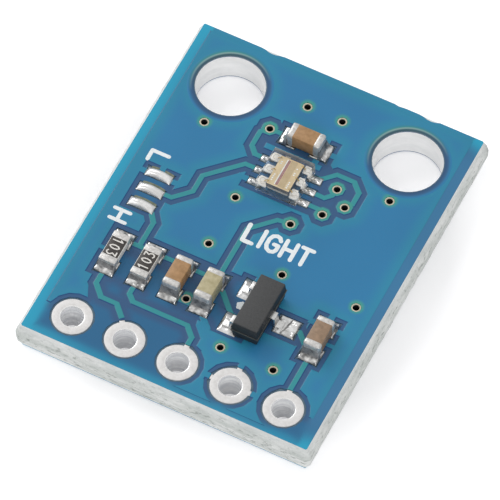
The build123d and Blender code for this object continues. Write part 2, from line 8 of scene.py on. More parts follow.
import bmesh
import bpy
from mathutils import Matrix, Vector, noise
from mathutils.bvhtree import BVHTree


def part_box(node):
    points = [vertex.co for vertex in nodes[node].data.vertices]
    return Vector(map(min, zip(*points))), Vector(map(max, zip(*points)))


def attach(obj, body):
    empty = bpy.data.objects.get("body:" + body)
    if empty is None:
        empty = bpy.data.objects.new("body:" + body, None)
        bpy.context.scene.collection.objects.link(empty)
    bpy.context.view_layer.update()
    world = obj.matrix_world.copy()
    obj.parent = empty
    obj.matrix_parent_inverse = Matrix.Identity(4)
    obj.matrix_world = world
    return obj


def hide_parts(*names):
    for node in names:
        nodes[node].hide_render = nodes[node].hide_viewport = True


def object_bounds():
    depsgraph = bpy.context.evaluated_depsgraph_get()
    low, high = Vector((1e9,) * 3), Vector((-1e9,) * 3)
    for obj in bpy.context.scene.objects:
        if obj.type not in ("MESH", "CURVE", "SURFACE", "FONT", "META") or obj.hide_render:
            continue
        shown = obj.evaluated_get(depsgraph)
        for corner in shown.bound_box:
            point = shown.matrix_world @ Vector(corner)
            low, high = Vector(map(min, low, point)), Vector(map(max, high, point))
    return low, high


MM = 0.001
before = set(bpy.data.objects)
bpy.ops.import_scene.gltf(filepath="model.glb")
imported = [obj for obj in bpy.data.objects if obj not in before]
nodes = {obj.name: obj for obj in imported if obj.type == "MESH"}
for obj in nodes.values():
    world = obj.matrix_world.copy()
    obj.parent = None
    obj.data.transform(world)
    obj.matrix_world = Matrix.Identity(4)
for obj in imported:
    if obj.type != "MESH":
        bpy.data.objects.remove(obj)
cad_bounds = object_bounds()

# The board, as the CAD frame has it
HEADER_Y = -7.44
BOARD_TOP = 1.60
LAMINATE_LOW = 0.05
LAMINATE_HIGH = 1.55
COPPER_T = 0.035
PAD_Z = LAMINATE_HIGH + COPPER_T
HALF_WIDTH = 6.865
FRONT_EDGE = -1.37
BACK_EDGE = 16.25
MOUNTS = ((-4.345, 13.79), (4.345, 13.79))
MOUNT_R = 1.576
PLACE = Matrix.Scale(MM, 4) @ Matrix.Translation((0, HEADER_Y, 0))

# The camera, solved on the board's corners and holes
PHOTO_PX = 500
FOCAL_PX = 6908.8
SENSOR_MM = 36.0
CAMERA_ROWS = (
    (0.8948301, 0.4459846, 0.0194126),
    (0.3866393, -0.7525554, -0.5330764),
    (-0.2231348, 0.4845185, -0.8458444),
)
CAMERA_SHIFT = Vector((-3.120991, 4.822951, 296.776797))


def linear(hex_color):
    """sRGB hex to a linear RGBA tuple."""
    channels = [int(hex_color[i:i + 2], 16) / 255 for i in (1, 3, 5)]
    curve = [c / 12.92 if c <= 0.04045 else ((c + 0.055) / 1.055) ** 2.4 for c in channels]
    return (*curve, 1.0)


# Materials

def feed(tree, node, **links):
    """Links output sockets to a node's inputs, by the inputs' names."""
    for name, source in links.items():
        tree.links.new(source, node.inputs[name.replace("_", " ")])


def add_node(tree, kind, settings=None, feeds=(), **links):
    """One shader node: settings by socket or property name, feeds in socket order, links by socket name."""
    node = tree.nodes.new(kind)
    for name, value in (settings or {}).items():
        if name in node.inputs:
            node.inputs[name].default_value = value
        else:
            setattr(node, name, value)
    for source, socket in zip(feeds, node.inputs):
        tree.links.new(source, socket)
    feed(tree, node, **links)
    return node


def start(name, **sockets):
    """A new material with its main shader's own sockets set."""
    material = bpy.data.materials.new(name)
    material.use_nodes = True
    tree = material.node_tree
    shader = tree.nodes["Principled BSDF"]
    for socket, value in sockets.items():
        shader.inputs[socket.replace("_", " ")].default_value = value
    place = add_node(tree, "ShaderNodeTexCoord").outputs["Object"]
    return material, tree, shader, place


def grain(tree, place, size_mm, stretch=(1, 1, 1), detail=3.0, roughness=0.55):
    """Noise whose lumps are about size_mm across, drawn out along the axes by stretch."""
    mapped = add_node(tree, "ShaderNodeMapping", {"Scale": [1 / s for s in stretch]}, Vector=place)
    settings = {"Scale": 1 / (size_mm * MM), "Detail": detail, "Roughness": roughness}
    return add_node(tree, "ShaderNodeTexNoise", settings, Vector=mapped.outputs[0]).outputs["Fac"]


def mottled(name, dark, light, size_mm, bump_mm=0.0, gloss=(0.4, 0.5), stretch=(1, 1, 1), detail=3.0,
            **sockets):
    """A surface whose colour and gloss vary with one grain, and which is as lumpy as bump_mm."""
    material, tree, shader, place = start(name, **sockets)
    grains = grain(tree, place, size_mm, stretch, detail)
    even = add_node(tree, "ShaderNodeMapRange", {"From Min": 0.3, "From Max": 0.7}, Value=grains).outputs[0]
    tint = add_node(tree, "ShaderNodeMixRGB", {"Color1": linear(dark), "Color2": linear(light)}, Fac=even)
    worn = add_node(tree, "ShaderNodeMapRange", {"To Min": gloss[0], "To Max": gloss[1]}, Value=even)
    feed(tree, shader, Base_Color=tint.outputs[0], Roughness=worn.outputs[0])
    if bump_mm:
        bump = add_node(tree, "ShaderNodeBump", {"Distance": bump_mm * MM}, Height=grains)
        feed(tree, shader, Normal=bump.outputs[0])
    return material


def blue_solder_mask():
    """Epoxy solder mask, screened on and cured: it dips between the copper and shows it greener where
    it runs thin at an edge, so the tracks read as teal lines in a violet-blue gap."""
    material, tree, shader, place = start("blue_epoxy_solder_mask", Roughness=0.34, IOR=1.5,
                                          Specular_IOR_Level=0.3)

    def fade(stored, near, far, first, second):
        """Colour from first to second as the value stored at the corners grows from near to far."""
        value = add_node(tree, "ShaderNodeAttribute", {"attribute_name": stored}).outputs["Fac"]
        settings = {"interpolation_type": "SMOOTHSTEP", "From Min": near, "From Max": far}
        step = add_node(tree, "ShaderNodeMapRange", settings, Value=value)
        mixed = add_node(tree, "ShaderNodeMixRGB", {}, Fac=step.outputs[0])
        for socket, color in (("Color1", first), ("Color2", second)):
            if isinstance(color, str):
                mixed.inputs[socket].default_value = linear(color)
            else:
                tree.links.new(color, mixed.inputs[socket])
        return mixed.outputs[0]

    pour = fade("step_gap", 0.0, 0.7, MASK_POUR_EDGE, MASK_POUR)
    copper = fade("pour_below", 0.2, 0.8, MASK_TRACK, pour)
    bare = fade("step_gap", 0.08, 0.45, MASK_GAP, MASK_BARE)
    # painted light on the outer band at the left, front and corners, painted shade at the right
    lit = fade("edge_light", 0.0, 1.0, bare, MASK_EDGE_LIT)
    shaded = fade("edge_shade", 0.0, 1.0, lit, MASK_EDGE_SHADED)
    face = fade("copper_below", 0.2, 0.8, shaded, copper)
    halo = fade("via_gap", 0.0, 0.22, MASK_HALO, face)
    # clouds a few millimetres across, where the cured film is a little thicker
    cloud = add_node(tree, "ShaderNodeMapRange", {"To Min": 0.90, "To Max": 1.10},
                     Value=grain(tree, place, 4.0, detail=1.0))
    tone = add_node(tree, "ShaderNodeHueSaturation", {}, Color=halo, Value=cloud.outputs[0])
    # the weave and the screen leave a faint orange peel, drawn at 0.25 mm
    peel = add_node(tree, "ShaderNodeBump", {"Distance": 0.002 * MM},
                    Height=grain(tree, place, 0.25, detail=1.0))
    feed(tree, shader, Base_Color=tone.outputs[0], Normal=peel.outputs[0])
    return material


def mask_at_a_drilled_hole():
    """Solder mask thinned to a dark lip round a drilled hole, with a grey-green streak where it is lit."""
    material, tree, shader, _ = start("blue_epoxy_mask_at_a_hole", Roughness=0.34, Specular_IOR_Level=0.3)
    in_shade = ((0.0, "#8E9A98"), (0.07, "#3F5F76"), (0.22, "#2F5379"), (0.52, "#345F87"),
                (0.85, "#2F7BA9"))
    in_light = ((0.0, "#9FA9A4"), (0.07, "#38545F"), (0.30, "#355A66"), (0.50, "#86A8A4"),
                (0.68, "#3B8A8E"), (1.0, "#2E80A6"))
    across, lit = (add_node(tree, "ShaderNodeAttribute", {"attribute_name": name}).outputs["Fac"]
                   for name in ("rim_across", "rim_lit"))
    bands = []
    for stops in (in_shade, in_light):
        ramp = add_node(tree, "ShaderNodeValToRGB", {}, Fac=across)
        while len(ramp.color_ramp.elements) < len(stops):
            ramp.color_ramp.elements.new(1.0)
        for element, (at, color) in zip(ramp.color_ramp.elements, stops):
            element.position = at
            element.color = linear(color)
        bands.append(ramp.outputs["Color"])
    tint = add_node(tree, "ShaderNodeMixRGB", {}, (lit, *bands))
    feed(tree, shader, Base_Color=tint.outputs[0])
    return material


def snapped_laminate():
    """Woven glass in epoxy, scored and snapped: pale, matt, with the broken middle rougher and darker."""
    material, tree, shader, place = start("snapped_glass_epoxy", Roughness=0.62, IOR=1.5)
    streaks = grain(tree, place, 0.28, (6, 6, 1), 4.0, 0.65)
    even = add_node(tree, "ShaderNodeMapRange", {"From Min": 0.35, "From Max": 0.65},
                    Value=streaks).outputs[0]
    cut, torn = (add_node(tree, "ShaderNodeMixRGB", {"Color1": linear(dark), "Color2": linear(light)},
                          Fac=even)
                 for dark, light in (("#E2E6E5", "#F6F8F7"), ("#CDD3CF", "#F4F6F4")))
    # darker pits, a few tenths of a millimetre long, where glass was pulled out
    pits = grain(tree, place, 0.13, (3, 3, 1), 4.0, 0.7)
    pitted = add_node(tree, "ShaderNodeMapRange", {"From Min": 0.54, "From Max": 0.64, "To Max": 0.8},
                      Value=pits)
    torn = add_node(tree, "ShaderNodeMixRGB", {"Color2": linear("#8C958F")}, Fac=pitted.outputs[0],
                    Color1=torn.outputs[0])
    web = add_node(tree, "ShaderNodeAttribute", {"attribute_name": "torn_web"}).outputs["Fac"]
    tint = add_node(tree, "ShaderNodeMixRGB", {}, (web, cut.outputs[0], torn.outputs[0]))
    bump = add_node(tree, "ShaderNodeBump", {"Distance": 0.05 * MM}, Height=grain(tree, place, 0.12))
    feed(tree, shader, Base_Color=tint.outputs[0], Normal=bump.outputs[0])
    return material


def clear_resin():
    """Clear epoxy, transfer moulded: the leads and the die show through it, and its edges catch light."""
    material, tree, shader, place = start(
        "clear_moulded_epoxy", Roughness=0.06, IOR=1.52, Transmission_Weight=1.0,
        Base_Color=linear("#FAFCFE"))
    ripple = add_node(tree, "ShaderNodeBump", {"Distance": 0.002 * MM}, Height=grain(tree, place, 0.5))
    feed(tree, shader, Normal=ripple.outputs[0])
    # light passes through to what is inside
    clear = add_node(tree, "ShaderNodeBsdfTransparent", {"Color": linear("#EEF2F6")})
    shadow = add_node(tree, "ShaderNodeLightPath").outputs["Is Shadow Ray"]
    mixed = add_node(tree, "ShaderNodeMixShader", {}, (shadow, shader.outputs[0], clear.outputs[0]))
    feed(tree, tree.nodes["Material Output"], Surface=mixed.outputs[0])
    return material


# The mask's colours over the pour, a track, a gap and bare laminate, at a via and at the board's edge
MASK_POUR = "#2F7BA9"
MASK_POUR_EDGE = "#2E85A6"
MASK_TRACK = "#359198"
MASK_GAP = "#365A82"
MASK_BARE = "#2A6791"
MASK_HALO = "#42998D"
# painted light and painted shade on the mask's outer band
MASK_EDGE_LIT = "#29A0C2"
MASK_EDGE_SHADED = "#3A769F"

mask_finish = blue_solder_mask()
rim_finish = mask_at_a_drilled_hole()
# the same mask with painted shade: a dark line where it drops off the pour at the board's left edge
shore_painted_shade_finish = mottled("blue_epoxy_mask_painted_shade_at_the_pour_edge", "#236D92", "#297597", 0.3, 0.0, (0.3, 0.4),
                       Specular_IOR_Level=0.3)
# the same mask with painted shade where it drops off the copper, away from the light
lee_painted_shade_finish = mottled("blue_epoxy_mask_painted_shade_at_a_step", "#1D4677", "#245283", 0.3, 0.0, (0.3, 0.4),
                     Specular_IOR_Level=0.3)
laminate_finish = snapped_laminate()
# the laminate's flat faces, painted dark blue-grey as shade: they show only as a thin line deep inside the
# mask's openings
face_painted_shade_finish = mottled("glass_epoxy_face_in_painted_shade", "#3F5A70", "#56707E", 0.2, 0.0, (0.5, 0.6))
# the wall of a drilled mounting hole, polished by the drill, and whitened past the cut edge as painted light
# where the hole gets little
drilled_wall_painted_light_finish = mottled("glass_epoxy_hole_wall_painted_light", "#F1F2F2", "#FFFFFF", 0.35, 0.01, (0.35, 0.5), (3, 3, 1))
# flux left on the laminate behind the heaped jumper pads: a thin olive glaze
flux_finish = mottled("flux_on_laminate", "#5C6452", "#7E8370", 0.15, 0.004, (0.25, 0.4))
resin_finish = clear_resin()
# the moulding's drafted sides: satin from the tool at the back, nearly clear at the front
side_finish = mottled("satin_epoxy_side", "#B2B1A8", "#DAD8CF", 0.25, 0.0, (0.35, 0.5), Alpha=0.75)
front_finish = mottled("clearer_epoxy_side", "#5C6368", "#F4F6F4", 0.20, 0.0, (0.10, 0.25), Alpha=0.14)
# etched copper: what shows of it in the mask's openings has been tinned
pad_finish = mottled("tinned_copper_pad", "#67747C", "#949A9C", 0.2, 0.002, (0.3, 0.45), Metallic=0.6)
# hot-air levelled tin, gone matt: off-white with a fine grain
tin_finish = mottled("levelled_tin", "#DAD8D6", "#E8E6E5", 0.14, 0.0015, (0.42, 0.55), Metallic=0.3)
# the tinned wall of a header hole, streaked by the drill, and whitened past tin as painted light in the deep
# hole
hole_wall_painted_light_finish = mottled("tin_hole_wall_painted_light", "#D4D6DA", "#FFFFFF", 0.09, 0.006, (0.35, 0.5), (12, 12, 1))
# where the tin rolls over into the hole it is thick, and whiter and glossier than the ring: a painted
# highlight on the roll
lip_painted_highlight_finish = mottled("tin_lip_painted_highlight", "#F4F3F1", "#FFFFFF", 0.2, 0.0, (0.18, 0.28), Metallic=0.6)
# the tin ring of a via, creamier where the mask has crept over it
via_finish = mottled("tinned_via_ring", "#B9B19B", "#DAD3C1", 0.08, 0.0, (0.45, 0.6), Metallic=0.2)
# the wall of a plated hole, dull, and painted near black as shade
barrel_painted_shade_finish = mottled("via_barrel_painted_shade", "#101216", "#1C1F24", 0.1, 0.0, (0.6, 0.8))
# reflowed tin solder: bright, lumpy, dark where it mirrors the board
solder_finish = mottled("reflowed_solder", "#858585", "#FBFAF8", 0.24, 0.03, (0.14, 0.28), detail=1.0,
                        Metallic=1.0)
# the climb of a fillet, which mirrors the board and its own shade
climb_finish = mottled("solder_in_shade", "#55565A", "#A3A3A3", 0.30, 0.012, (0.22, 0.38), Metallic=0.35)
# a thick crumpled pad of solder, broad creases and no grain
crumpled_finish = mottled("crumpled_solder", "#B5B4B2", "#FFFFFF", 0.55, 0.02, (0.22, 0.36), Metallic=0.85)
# solder drawn up thin round a foot: a bright mirror, hardly grained
wetted_finish = mottled("wetted_solder", "#C2C2C1", "#FFFFFF", 0.3, 0.006, (0.14, 0.24), Metallic=0.95)
# solder heaped high on a bare pad: smooth and very bright
heaped_finish = mottled("heaped_solder", "#DDDCDA", "#FFFFFF", 0.35, 0.004, (0.22, 0.32), Metallic=0.6)
# tin plating on dipped end caps: silver-white with a faint speckle
terminal_finish = mottled("plated_end_cap", "#C0BEBB", "#E6E4E1", 0.12, 0.010, (0.28, 0.42), Metallic=0.55)
# tinned copper leads, bent and a little scratched
lead_finish = mottled("tinned_lead", "#C9C9C8", "#ECEBE9", 0.10, 0.006, (0.22, 0.36), Metallic=1.0)
# silver-plated lead frame inside the clear moulding: soft and pale
frame_finish = mottled("silver_plated_frame", "#F4EEE4", "#FFFEFA", 0.15, 0.003, (0.4, 0.55), Metallic=0.05)
# the ring that a bonding tool leaves in the plating
coined_finish = mottled("coined_silver_ring", "#B4ADA2", "#CFC8BD", 0.1, 0.0, (0.4, 0.5), Metallic=0.2)
# fired alumina: white, matt and very finely grained
alumina_finish = mottled("fired_alumina", "#DAD8D2", "#F2F0EB", 0.10, 0.004, (0.5, 0.6))
# printed and fired glass: nearly black, with a soft gloss
overcoat_finish = mottled("dark_glass_overcoat", "#2E2A29", "#45403C", 0.15, 0.004, (0.28, 0.38))
# fired ceramic, tumbled: an earthy colour with a slight cloudiness and worn gloss
orange_finish = mottled("fired_ceramic_orange", "#9A764E", "#B68E64", 0.22, 0.004, (0.38, 0.5))
khaki_finish = mottled("fired_ceramic_khaki", "#A89E79", "#C1B794", 0.22, 0.004, (0.38, 0.5))
brown_finish = mottled("fired_ceramic_brown", "#87705A", "#A3876F", 0.22, 0.004, (0.38, 0.5))
# moulded epoxy with a spark-eroded texture: dark grey and matt
moulding_finish = mottled("moulded_black_epoxy", "#393A3B", "#474849", 0.07, 0.006, (0.5, 0.62))
# the same epoxy on the drafted sides, painted darker as shade, where less of the studio shows in it
draft_painted_shade_finish = mottled("black_epoxy_side_painted_shade", "#1E2022", "#2B2D2F", 0.07, 0.006, (0.45, 0.6))
# the thin flash along the mould's parting line, paler than the sides
flash_finish = mottled("moulding_flash", "#404344", "#5E6261", 0.15, 0.0, (0.4, 0.6))
# the polished die under its thin coat: an even straw colour
die_finish = mottled("polished_die", "#DFC497", "#F0DAB0", 0.5, 0.0, (0.3, 0.4))
# the die's sawn sides, bare grey silicon
sawn_finish = mottled("sawn_silicon", "#55565B", "#6E6F74", 0.08, 0.0, (0.4, 0.5))
# the half of the die under its darker coat
field_finish = mottled("coated_die", "#CBB186", "#D8C198", 0.3, 0.0, (0.3, 0.4))
# a metal stripe across the die, dull rose
stripe_finish = mottled("die_metal_stripe", "#A27272", "#B98B88", 0.3, 0.0, (0.25, 0.35))
# drawn gold wire: smooth and warm
wire_finish = mottled("gold_wire", "#D9B25C", "#F0D080", 0.05, 0.0, (0.25, 0.35), Metallic=1.0)
# screened epoxy ink: white, matt, thin at the rims
ink_finish = mottled("white_epoxy_ink", "#E4ECEE", "#F4F8F9", 0.12, 0.003, (0.5, 0.6))
# aluminium bond pads on the die, bright and very small
dash_finish = mottled("aluminium_bond_pad", "#F6F4EF", "#FFFFFF", 0.2, 0.0, (0.4, 0.5))
# the ink of the resistors' code, a little greyer than the board's
code_finish = mottled("white_code_ink", "#D6D3CC", "#EFEDE8", 0.06, 0.0, (0.5, 0.6))


# Shaping

def put(name, data):
    """A new object in the scene."""
    made = bpy.data.objects.new(name, data)
    bpy.context.scene.collection.objects.link(made)
    return made


def new_piece(name, shape, finishes, stands_for=(), sharp=35.0):
    """Puts a shape made in board millimetres in its place, as one piece that rides on the board."""
    bmesh.ops.transform(shape, matrix=PLACE, verts=shape.verts)
    mesh = bpy.data.meshes.new(name)
    shape.to_mesh(mesh)
    shape.free()
    for finish in finishes:
        mesh.materials.append(finish)
    mesh.shade_smooth()
    mesh.set_sharp_from_angle(angle=math.radians(sharp))
    piece = put(name, mesh)
    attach(piece, "root")
    if stands_for:
        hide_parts(*stands_for)
    return piece


def copy_of(node):
    """A node's own shape with its loose triangles merged, in board millimetres."""
    shape = bmesh.new()
    shape.from_mesh(nodes[node].data)
    bmesh.ops.transform(shape, matrix=PLACE.inverted(), verts=shape.verts)
    bmesh.ops.remove_doubles(shape, verts=shape.verts, dist=0.0008)
    return shape


def node_box(node):
    """A node's corners in board millimetres."""
    low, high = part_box(node)
    return PLACE.inverted() @ low, PLACE.inverted() @ high


def round_edges(shape, edges, width, steps):
    """Rounds some of a shape's edges over a width."""
    bmesh.ops.bevel(shape, geom=edges, offset=width, offset_type="OFFSET", segments=steps, profile=0.5,
                    affect="EDGES", material=-1)


def add_block(shape, low, high, bevel=0.0, steps=2):
    """A box between two corners, its edges rounded."""
    made = bmesh.ops.create_cube(shape, size=1)["verts"]
    low, high = Vector(low), Vector(high)
    bmesh.ops.scale(shape, vec=high - low, verts=made)
    bmesh.ops.translate(shape, vec=(low + high) / 2, verts=made)
    if bevel:
        round_edges(shape, list({edge for vert in made for edge in vert.link_edges}), bevel, steps)


def draw_skirt(shape, edges, z):
    """Draws a wall from some edges to one height, and gives what was made."""
    made = bmesh.ops.extrude_edge_only(shape, edges=edges)["geom"]
    for part in made:
        if isinstance(part, bmesh.types.BMVert):
            part.co.z = z
    return made


def add_heap(shape, low, high, cells, height, base, spread=0.015):
    """Solder on a rectangle of pad: a sheet lifted to height(u, v), with its rim taken down to base."""
    low, high = (low[0] - spread, low[1] - spread), (high[0] + spread, high[1] + spread)
    made = bmesh.ops.create_grid(shape, x_segments=cells[0], y_segments=cells[1], size=0.5)["verts"]
    rim = list({edge for vert in made for edge in vert.link_edges if edge.is_boundary})
    for vert in made:
        u, v = vert.co.x + 0.5, vert.co.y + 0.5
        x, y = low[0] + u * (high[0] - low[0]), low[1] + v * (high[1] - low[1])
        vert.co = (x, y, height(u, v))
    skirt = draw_skirt(shape, rim, base)
    edges = [edge for edge in skirt if isinstance(edge, bmesh.types.BMEdge) and edge.is_boundary]
    bmesh.ops.contextual_create(shape, geom=edges)


def add_turned(shape, profile, centre, turns, material=0):
    """A profile of (radius, height) spun a full turn about an upright axis."""
    part = bmesh.new()
    verts = [part.verts.new((radius, 0, z)) for radius, z in profile]
    edges = [part.edges.new(pair) for pair in zip(verts, verts[1:])]
    bmesh.ops.spin(part, geom=verts + edges, cent=(0, 0, 0), axis=(0, 0, 1), angle=math.tau,
                   steps=turns, use_merge=True)
    bmesh.ops.remove_doubles(part, verts=part.verts, dist=0.0005)
    bmesh.ops.recalc_face_normals(part, faces=part.faces)
    bmesh.ops.translate(part, vec=(centre[0], centre[1], 0), verts=part.verts)
    for face in part.faces:
        face.material_index = material
    add_shape(shape, part)


def add_shape(shape, part):
    """Joins a part's faces to a shape."""
    mesh = bpy.data.meshes.new("joined")
    part.to_mesh(mesh)
    part.free()
    shape.from_mesh(mesh)
    bpy.data.meshes.remove(mesh)


def placed(shape, matrix):
    """The shape itself, moved by a matrix."""
    bmesh.ops.transform(shape, matrix=matrix, verts=shape.verts)
    return shape


def span(side, near, far):
    """The lower and higher ends of a run from near to far, on one side of the middle."""
    return sorted((side * near, side * far))


def share(value):
    """A value held between 0 and 1."""
    return max(0.0, min(1.0, value))


def lumps(x, y, size, seed=0.0):
    """Smooth noise from -1 to 1, about size across."""
    return noise.noise(Vector((x / size, y / size, seed)))


def cut(shape, at, normal):
    """Cuts every face that a plane meets."""
    bmesh.ops.bisect_plane(shape, geom=shape.verts[:] + shape.edges[:] + shape.faces[:], dist=0.0005,
                           plane_co=at, plane_no=normal)


def cut_grid(shape, pitch):
    """Cuts every face along a square grid, so that a value stored at the corners can vary across it."""
    for axis in (0, 1):
        places = [vert.co[axis] for vert in shape.verts]
        first, last = min(places), max(places)
        for i in range(1, int((last - first) / pitch)):
            at = Vector((0, 0, 0))
            at[axis] = first + i * pitch
            normal = Vector((0, 0, 0))
            normal[axis] = 1
            cut(shape, at, normal)


# The board

# How far a step in the mask runs out, how deep the mask dips between the copper, and its whole thickness
SLOPE_RUN = 0.05
DIP = 0.013
MASK_T = 0.05
GRID_PITCH = 0.2
# Two heights nearer than this are the same
SAME_Z = 0.004

# Where the outer band's painted light and shade begin, and the width over which they die away inwards
BAND_X = 6.405
BAND_FRONT = -1.12
BAND_BACK = 16.0
EDGE_FADE = 0.55
# The pour reaches the back edge between the two corners
BACK_POUR_Y = 15.99
BACK_POUR_X = 6.42

# Where the mask is chipped along the back edge: middle, half length and depth
CHIPS = ((-3.45, 0.45, 0.10), (2.8, 0.15, 0.05), (4.3, 0.42, 0.11))
# The film behind a chip is drawn in over this depth
CHIP_RUN = 0.25


def via_places():
    """Middles of the plated vias, from the copper that the frame holds."""
    shape = copy_of("via_barrels")
    left = set(shape.verts)
    places = []
    while left:
        island = [left.pop()]
        for vert in island:
            for edge in vert.link_edges:
                other = edge.other_vert(vert)
                if other in left:
                    left.discard(other)
                    island.append(other)
        xs = [vert.co.x for vert in island]
        ys = [vert.co.y for vert in island]
        places.append(Vector(((min(xs) + max(xs)) / 2, (min(ys) + max(ys)) / 2, 0)))
    shape.free()
    return sorted(places, key=tuple)


VIAS = via_places()
VIA_RING_R = 0.22
VIA_HOLE_R = 0.15
# A via's halo is seen drawn towards the back by this much
HALO_SHIFT = 0.03


def edge_painted_light_and_shade(x, y):
    """How far the mask's outer band is lit (left, front and corners) or in shade (right)."""
    outside = max(abs(x) - BAND_X, BAND_FRONT - y, y - BAND_BACK)
    if outside <= -EDGE_FADE:
        return 0.0, 0.0
    fade = share(1.0 + outside / EDGE_FADE) ** 2
    deep = share(outside / 0.3)
    corner = max(share((0.1 - y) / 1.4), share((y - 14.9) / 1.2))
    right = share((x - 6.0) / 0.4)
    near_left = share((-3.9 - x) / 2.5)
    front = 0.42 + 0.2 * deep + 0.2 * near_left
    level = front if abs(x) < 6.4 else 0.66 + 0.2 * deep + 0.14 * corner
    lit = (1.0 - right * (1.0 - corner)) * level * fade
    return lit, right * (1.0 - corner) * fade


def draw_out_steps(shape, walls, low_z):
    """Moves the foot of each upright step away from the copper, so that the step becomes a slope."""
    moves = {}
    for wall in walls:
        flat = Vector((wall.normal.x, wall.normal.y, 0)).normalized()
        for vert in wall.verts:
            if abs(vert.co.z - low_z) < SAME_Z:
                known = moves.setdefault(vert, [])
                if all(flat.dot(other) < 0.999 for other in known):
                    known.append(flat)
    for vert, normals in moves.items():
        total = sum(normals, Vector())
        if len(normals) > 1:
            total = total / max(0.4, 1 + normals[0].dot(normals[1]))
        if total.length > 2:
            total = total.normalized() * 2
        vert.co += total * SLOPE_RUN


def tree_of_faces(shape, kept):
    """A search tree of some of a shape's faces."""
    shape.faces.index_update()
    numbers = {face.index for face in kept}
    part = shape.copy()
    part.faces.index_update()
    others = [face for face in part.faces if face.index not in numbers]
    bmesh.ops.delete(part, geom=others, context="FACES")
    found = BVHTree.FromBMesh(part)
    part.free()
    return found


def mask_piece(name, node, face_z, side):
    """The mask as it cured: high over the copper, sloping down into each gap and open at the pads."""
    shape = copy_of(node)
    outer = [f for f in shape.faces if any(abs(v.co.z - face_z) < SAME_Z for v in f.verts)]
    bmesh.ops.delete(shape, geom=outer, context="FACES")
    laminate_z = face_z - side * MASK_T
    for vert in shape.verts:
        depth = (vert.co.z - laminate_z) * side / COPPER_T
        vert.co.z = face_z - side * DIP * (1 - depth)
    bmesh.ops.reverse_faces(shape, faces=shape.faces)
    shape.normal_update()
    walls = [f for f in shape.faces if abs(f.normal.z) < 0.1]
    draw_out_steps(shape, walls, face_z - side * DIP)
    near_slope = tree_of_faces(shape, walls)
    pour = copy_of("ground_pour_top" if side > 0 else "ground_pour_under")
    near_pour = BVHTree.FromBMesh(pour)
    pour.free()
    pour_z = laminate_z + side * COPPER_T / 2
    draw_skirt(shape, [edge for edge in shape.edges if edge.is_boundary], laminate_z)
    cut_grid(shape, GRID_PITCH)
    layers = {key: shape.verts.layers.float.new(key)
              for key in ("copper_below", "pour_below", "step_gap", "via_gap", "edge_light",
                          "edge_shade")}
    for vert in shape.verts:
        back_band = side > 0 and vert.co.y > BACK_POUR_Y and abs(vert.co.x) < BACK_POUR_X
        vert[layers["copper_below"]] = 1.0 if back_band else share(1 - (face_z - vert.co.z) * side / DIP)
        off_pour = near_pour.find_nearest((vert.co.x, vert.co.y, pour_z))[3] or 0.0
        vert[layers["pour_below"]] = 1.0 if off_pour < 0.03 or back_band else 0.0
        vert[layers["step_gap"]] = near_slope.find_nearest(vert.co)[3] or 0.0
        flat = Vector((vert.co.x, vert.co.y - HALO_SHIFT, 0))
        gaps = [(flat - via).length - VIA_RING_R for via in VIAS]
        vert[layers["via_gap"]] = max(0.0, min(gaps)) if side > 0 else 1.0
        lit, shade = edge_painted_light_and_shade(vert.co.x, vert.co.y)
        vert[layers["edge_light"]] = lit
        vert[layers["edge_shade"]] = shade
        near_edge = 1 - (BACK_EDGE - vert.co.y) / CHIP_RUN
        if side > 0 and near_edge > 0:
            chip = sum(deep * max(0.0, 1 - ((vert.co.x - at) / half) ** 2) for at, half, deep in CHIPS)
            vert.co.y -= chip * min(1.0, near_edge)
    shape.normal_update()
    # slopes facing the front and right take the lee finish's painted shade, the pour's outer left slope the
    # shore finish's painted shade
    for face in shape.faces:
        flat = Vector((face.normal.x, face.normal.y))
        slope = flat.length > 0.05 and abs(face.normal.z) > 0.5
        middle = face.calc_center_median()
        leeward = slope and middle.x < 6.3 and flat.normalized().dot(Vector((0.6, -0.8))) > 0.35
        outer_left = slope and flat.normalized().x < -0.9 and middle.x < -6.3
        face.material_index = 1 if leeward else 2 if outer_left else 0
    return new_piece(name, shape, [mask_finish, lee_painted_shade_finish, shore_painted_shade_finish], [node], 6.0)


RIM_W = 0.355
# The way that the lit side of a mounting hole's lip faces
LIT_WAY = Vector((-0.574, 0.819))


def hole_rims():
    """The mask's soft lip round each mounting hole, lit on the side that faces the back."""
    shape = bmesh.new()
    lit = shape.verts.layers.float.new("rim_lit")
    across = shape.verts.layers.float.new("rim_across")
    lip = ((0.002, 1.570), (0.002, 1.585), (0.02, 1.5945), (0.07, 1.595), (0.12, 1.5955), (0.17, 1.597),
           (0.22, 1.600), (0.29, 1.6025), (0.34, 1.6025), (RIM_W, 1.599), (RIM_W, 1.570), (0.002, 1.570))
    for hole in MOUNTS:
        add_turned(shape, [(MOUNT_R + out, z) for out, z in lip], hole, 72)
    for vert in shape.verts:
        hole = min(MOUNTS, key=lambda place: (vert.co.xy - Vector(place)).length)
        out = vert.co.xy - Vector(hole)
        vert[across] = (out.length - MOUNT_R) / RIM_W
        vert[lit] = max(0.0, out.normalized().dot(LIT_WAY)) ** 0.8
    return new_piece("mask_hole_rims", shape, [rim_finish], (), 70.0)


# The snapped edge stands out of the board's outline: the scored slope first, then the torn web
SCORE_START = 0.10
WEB_START = 0.25


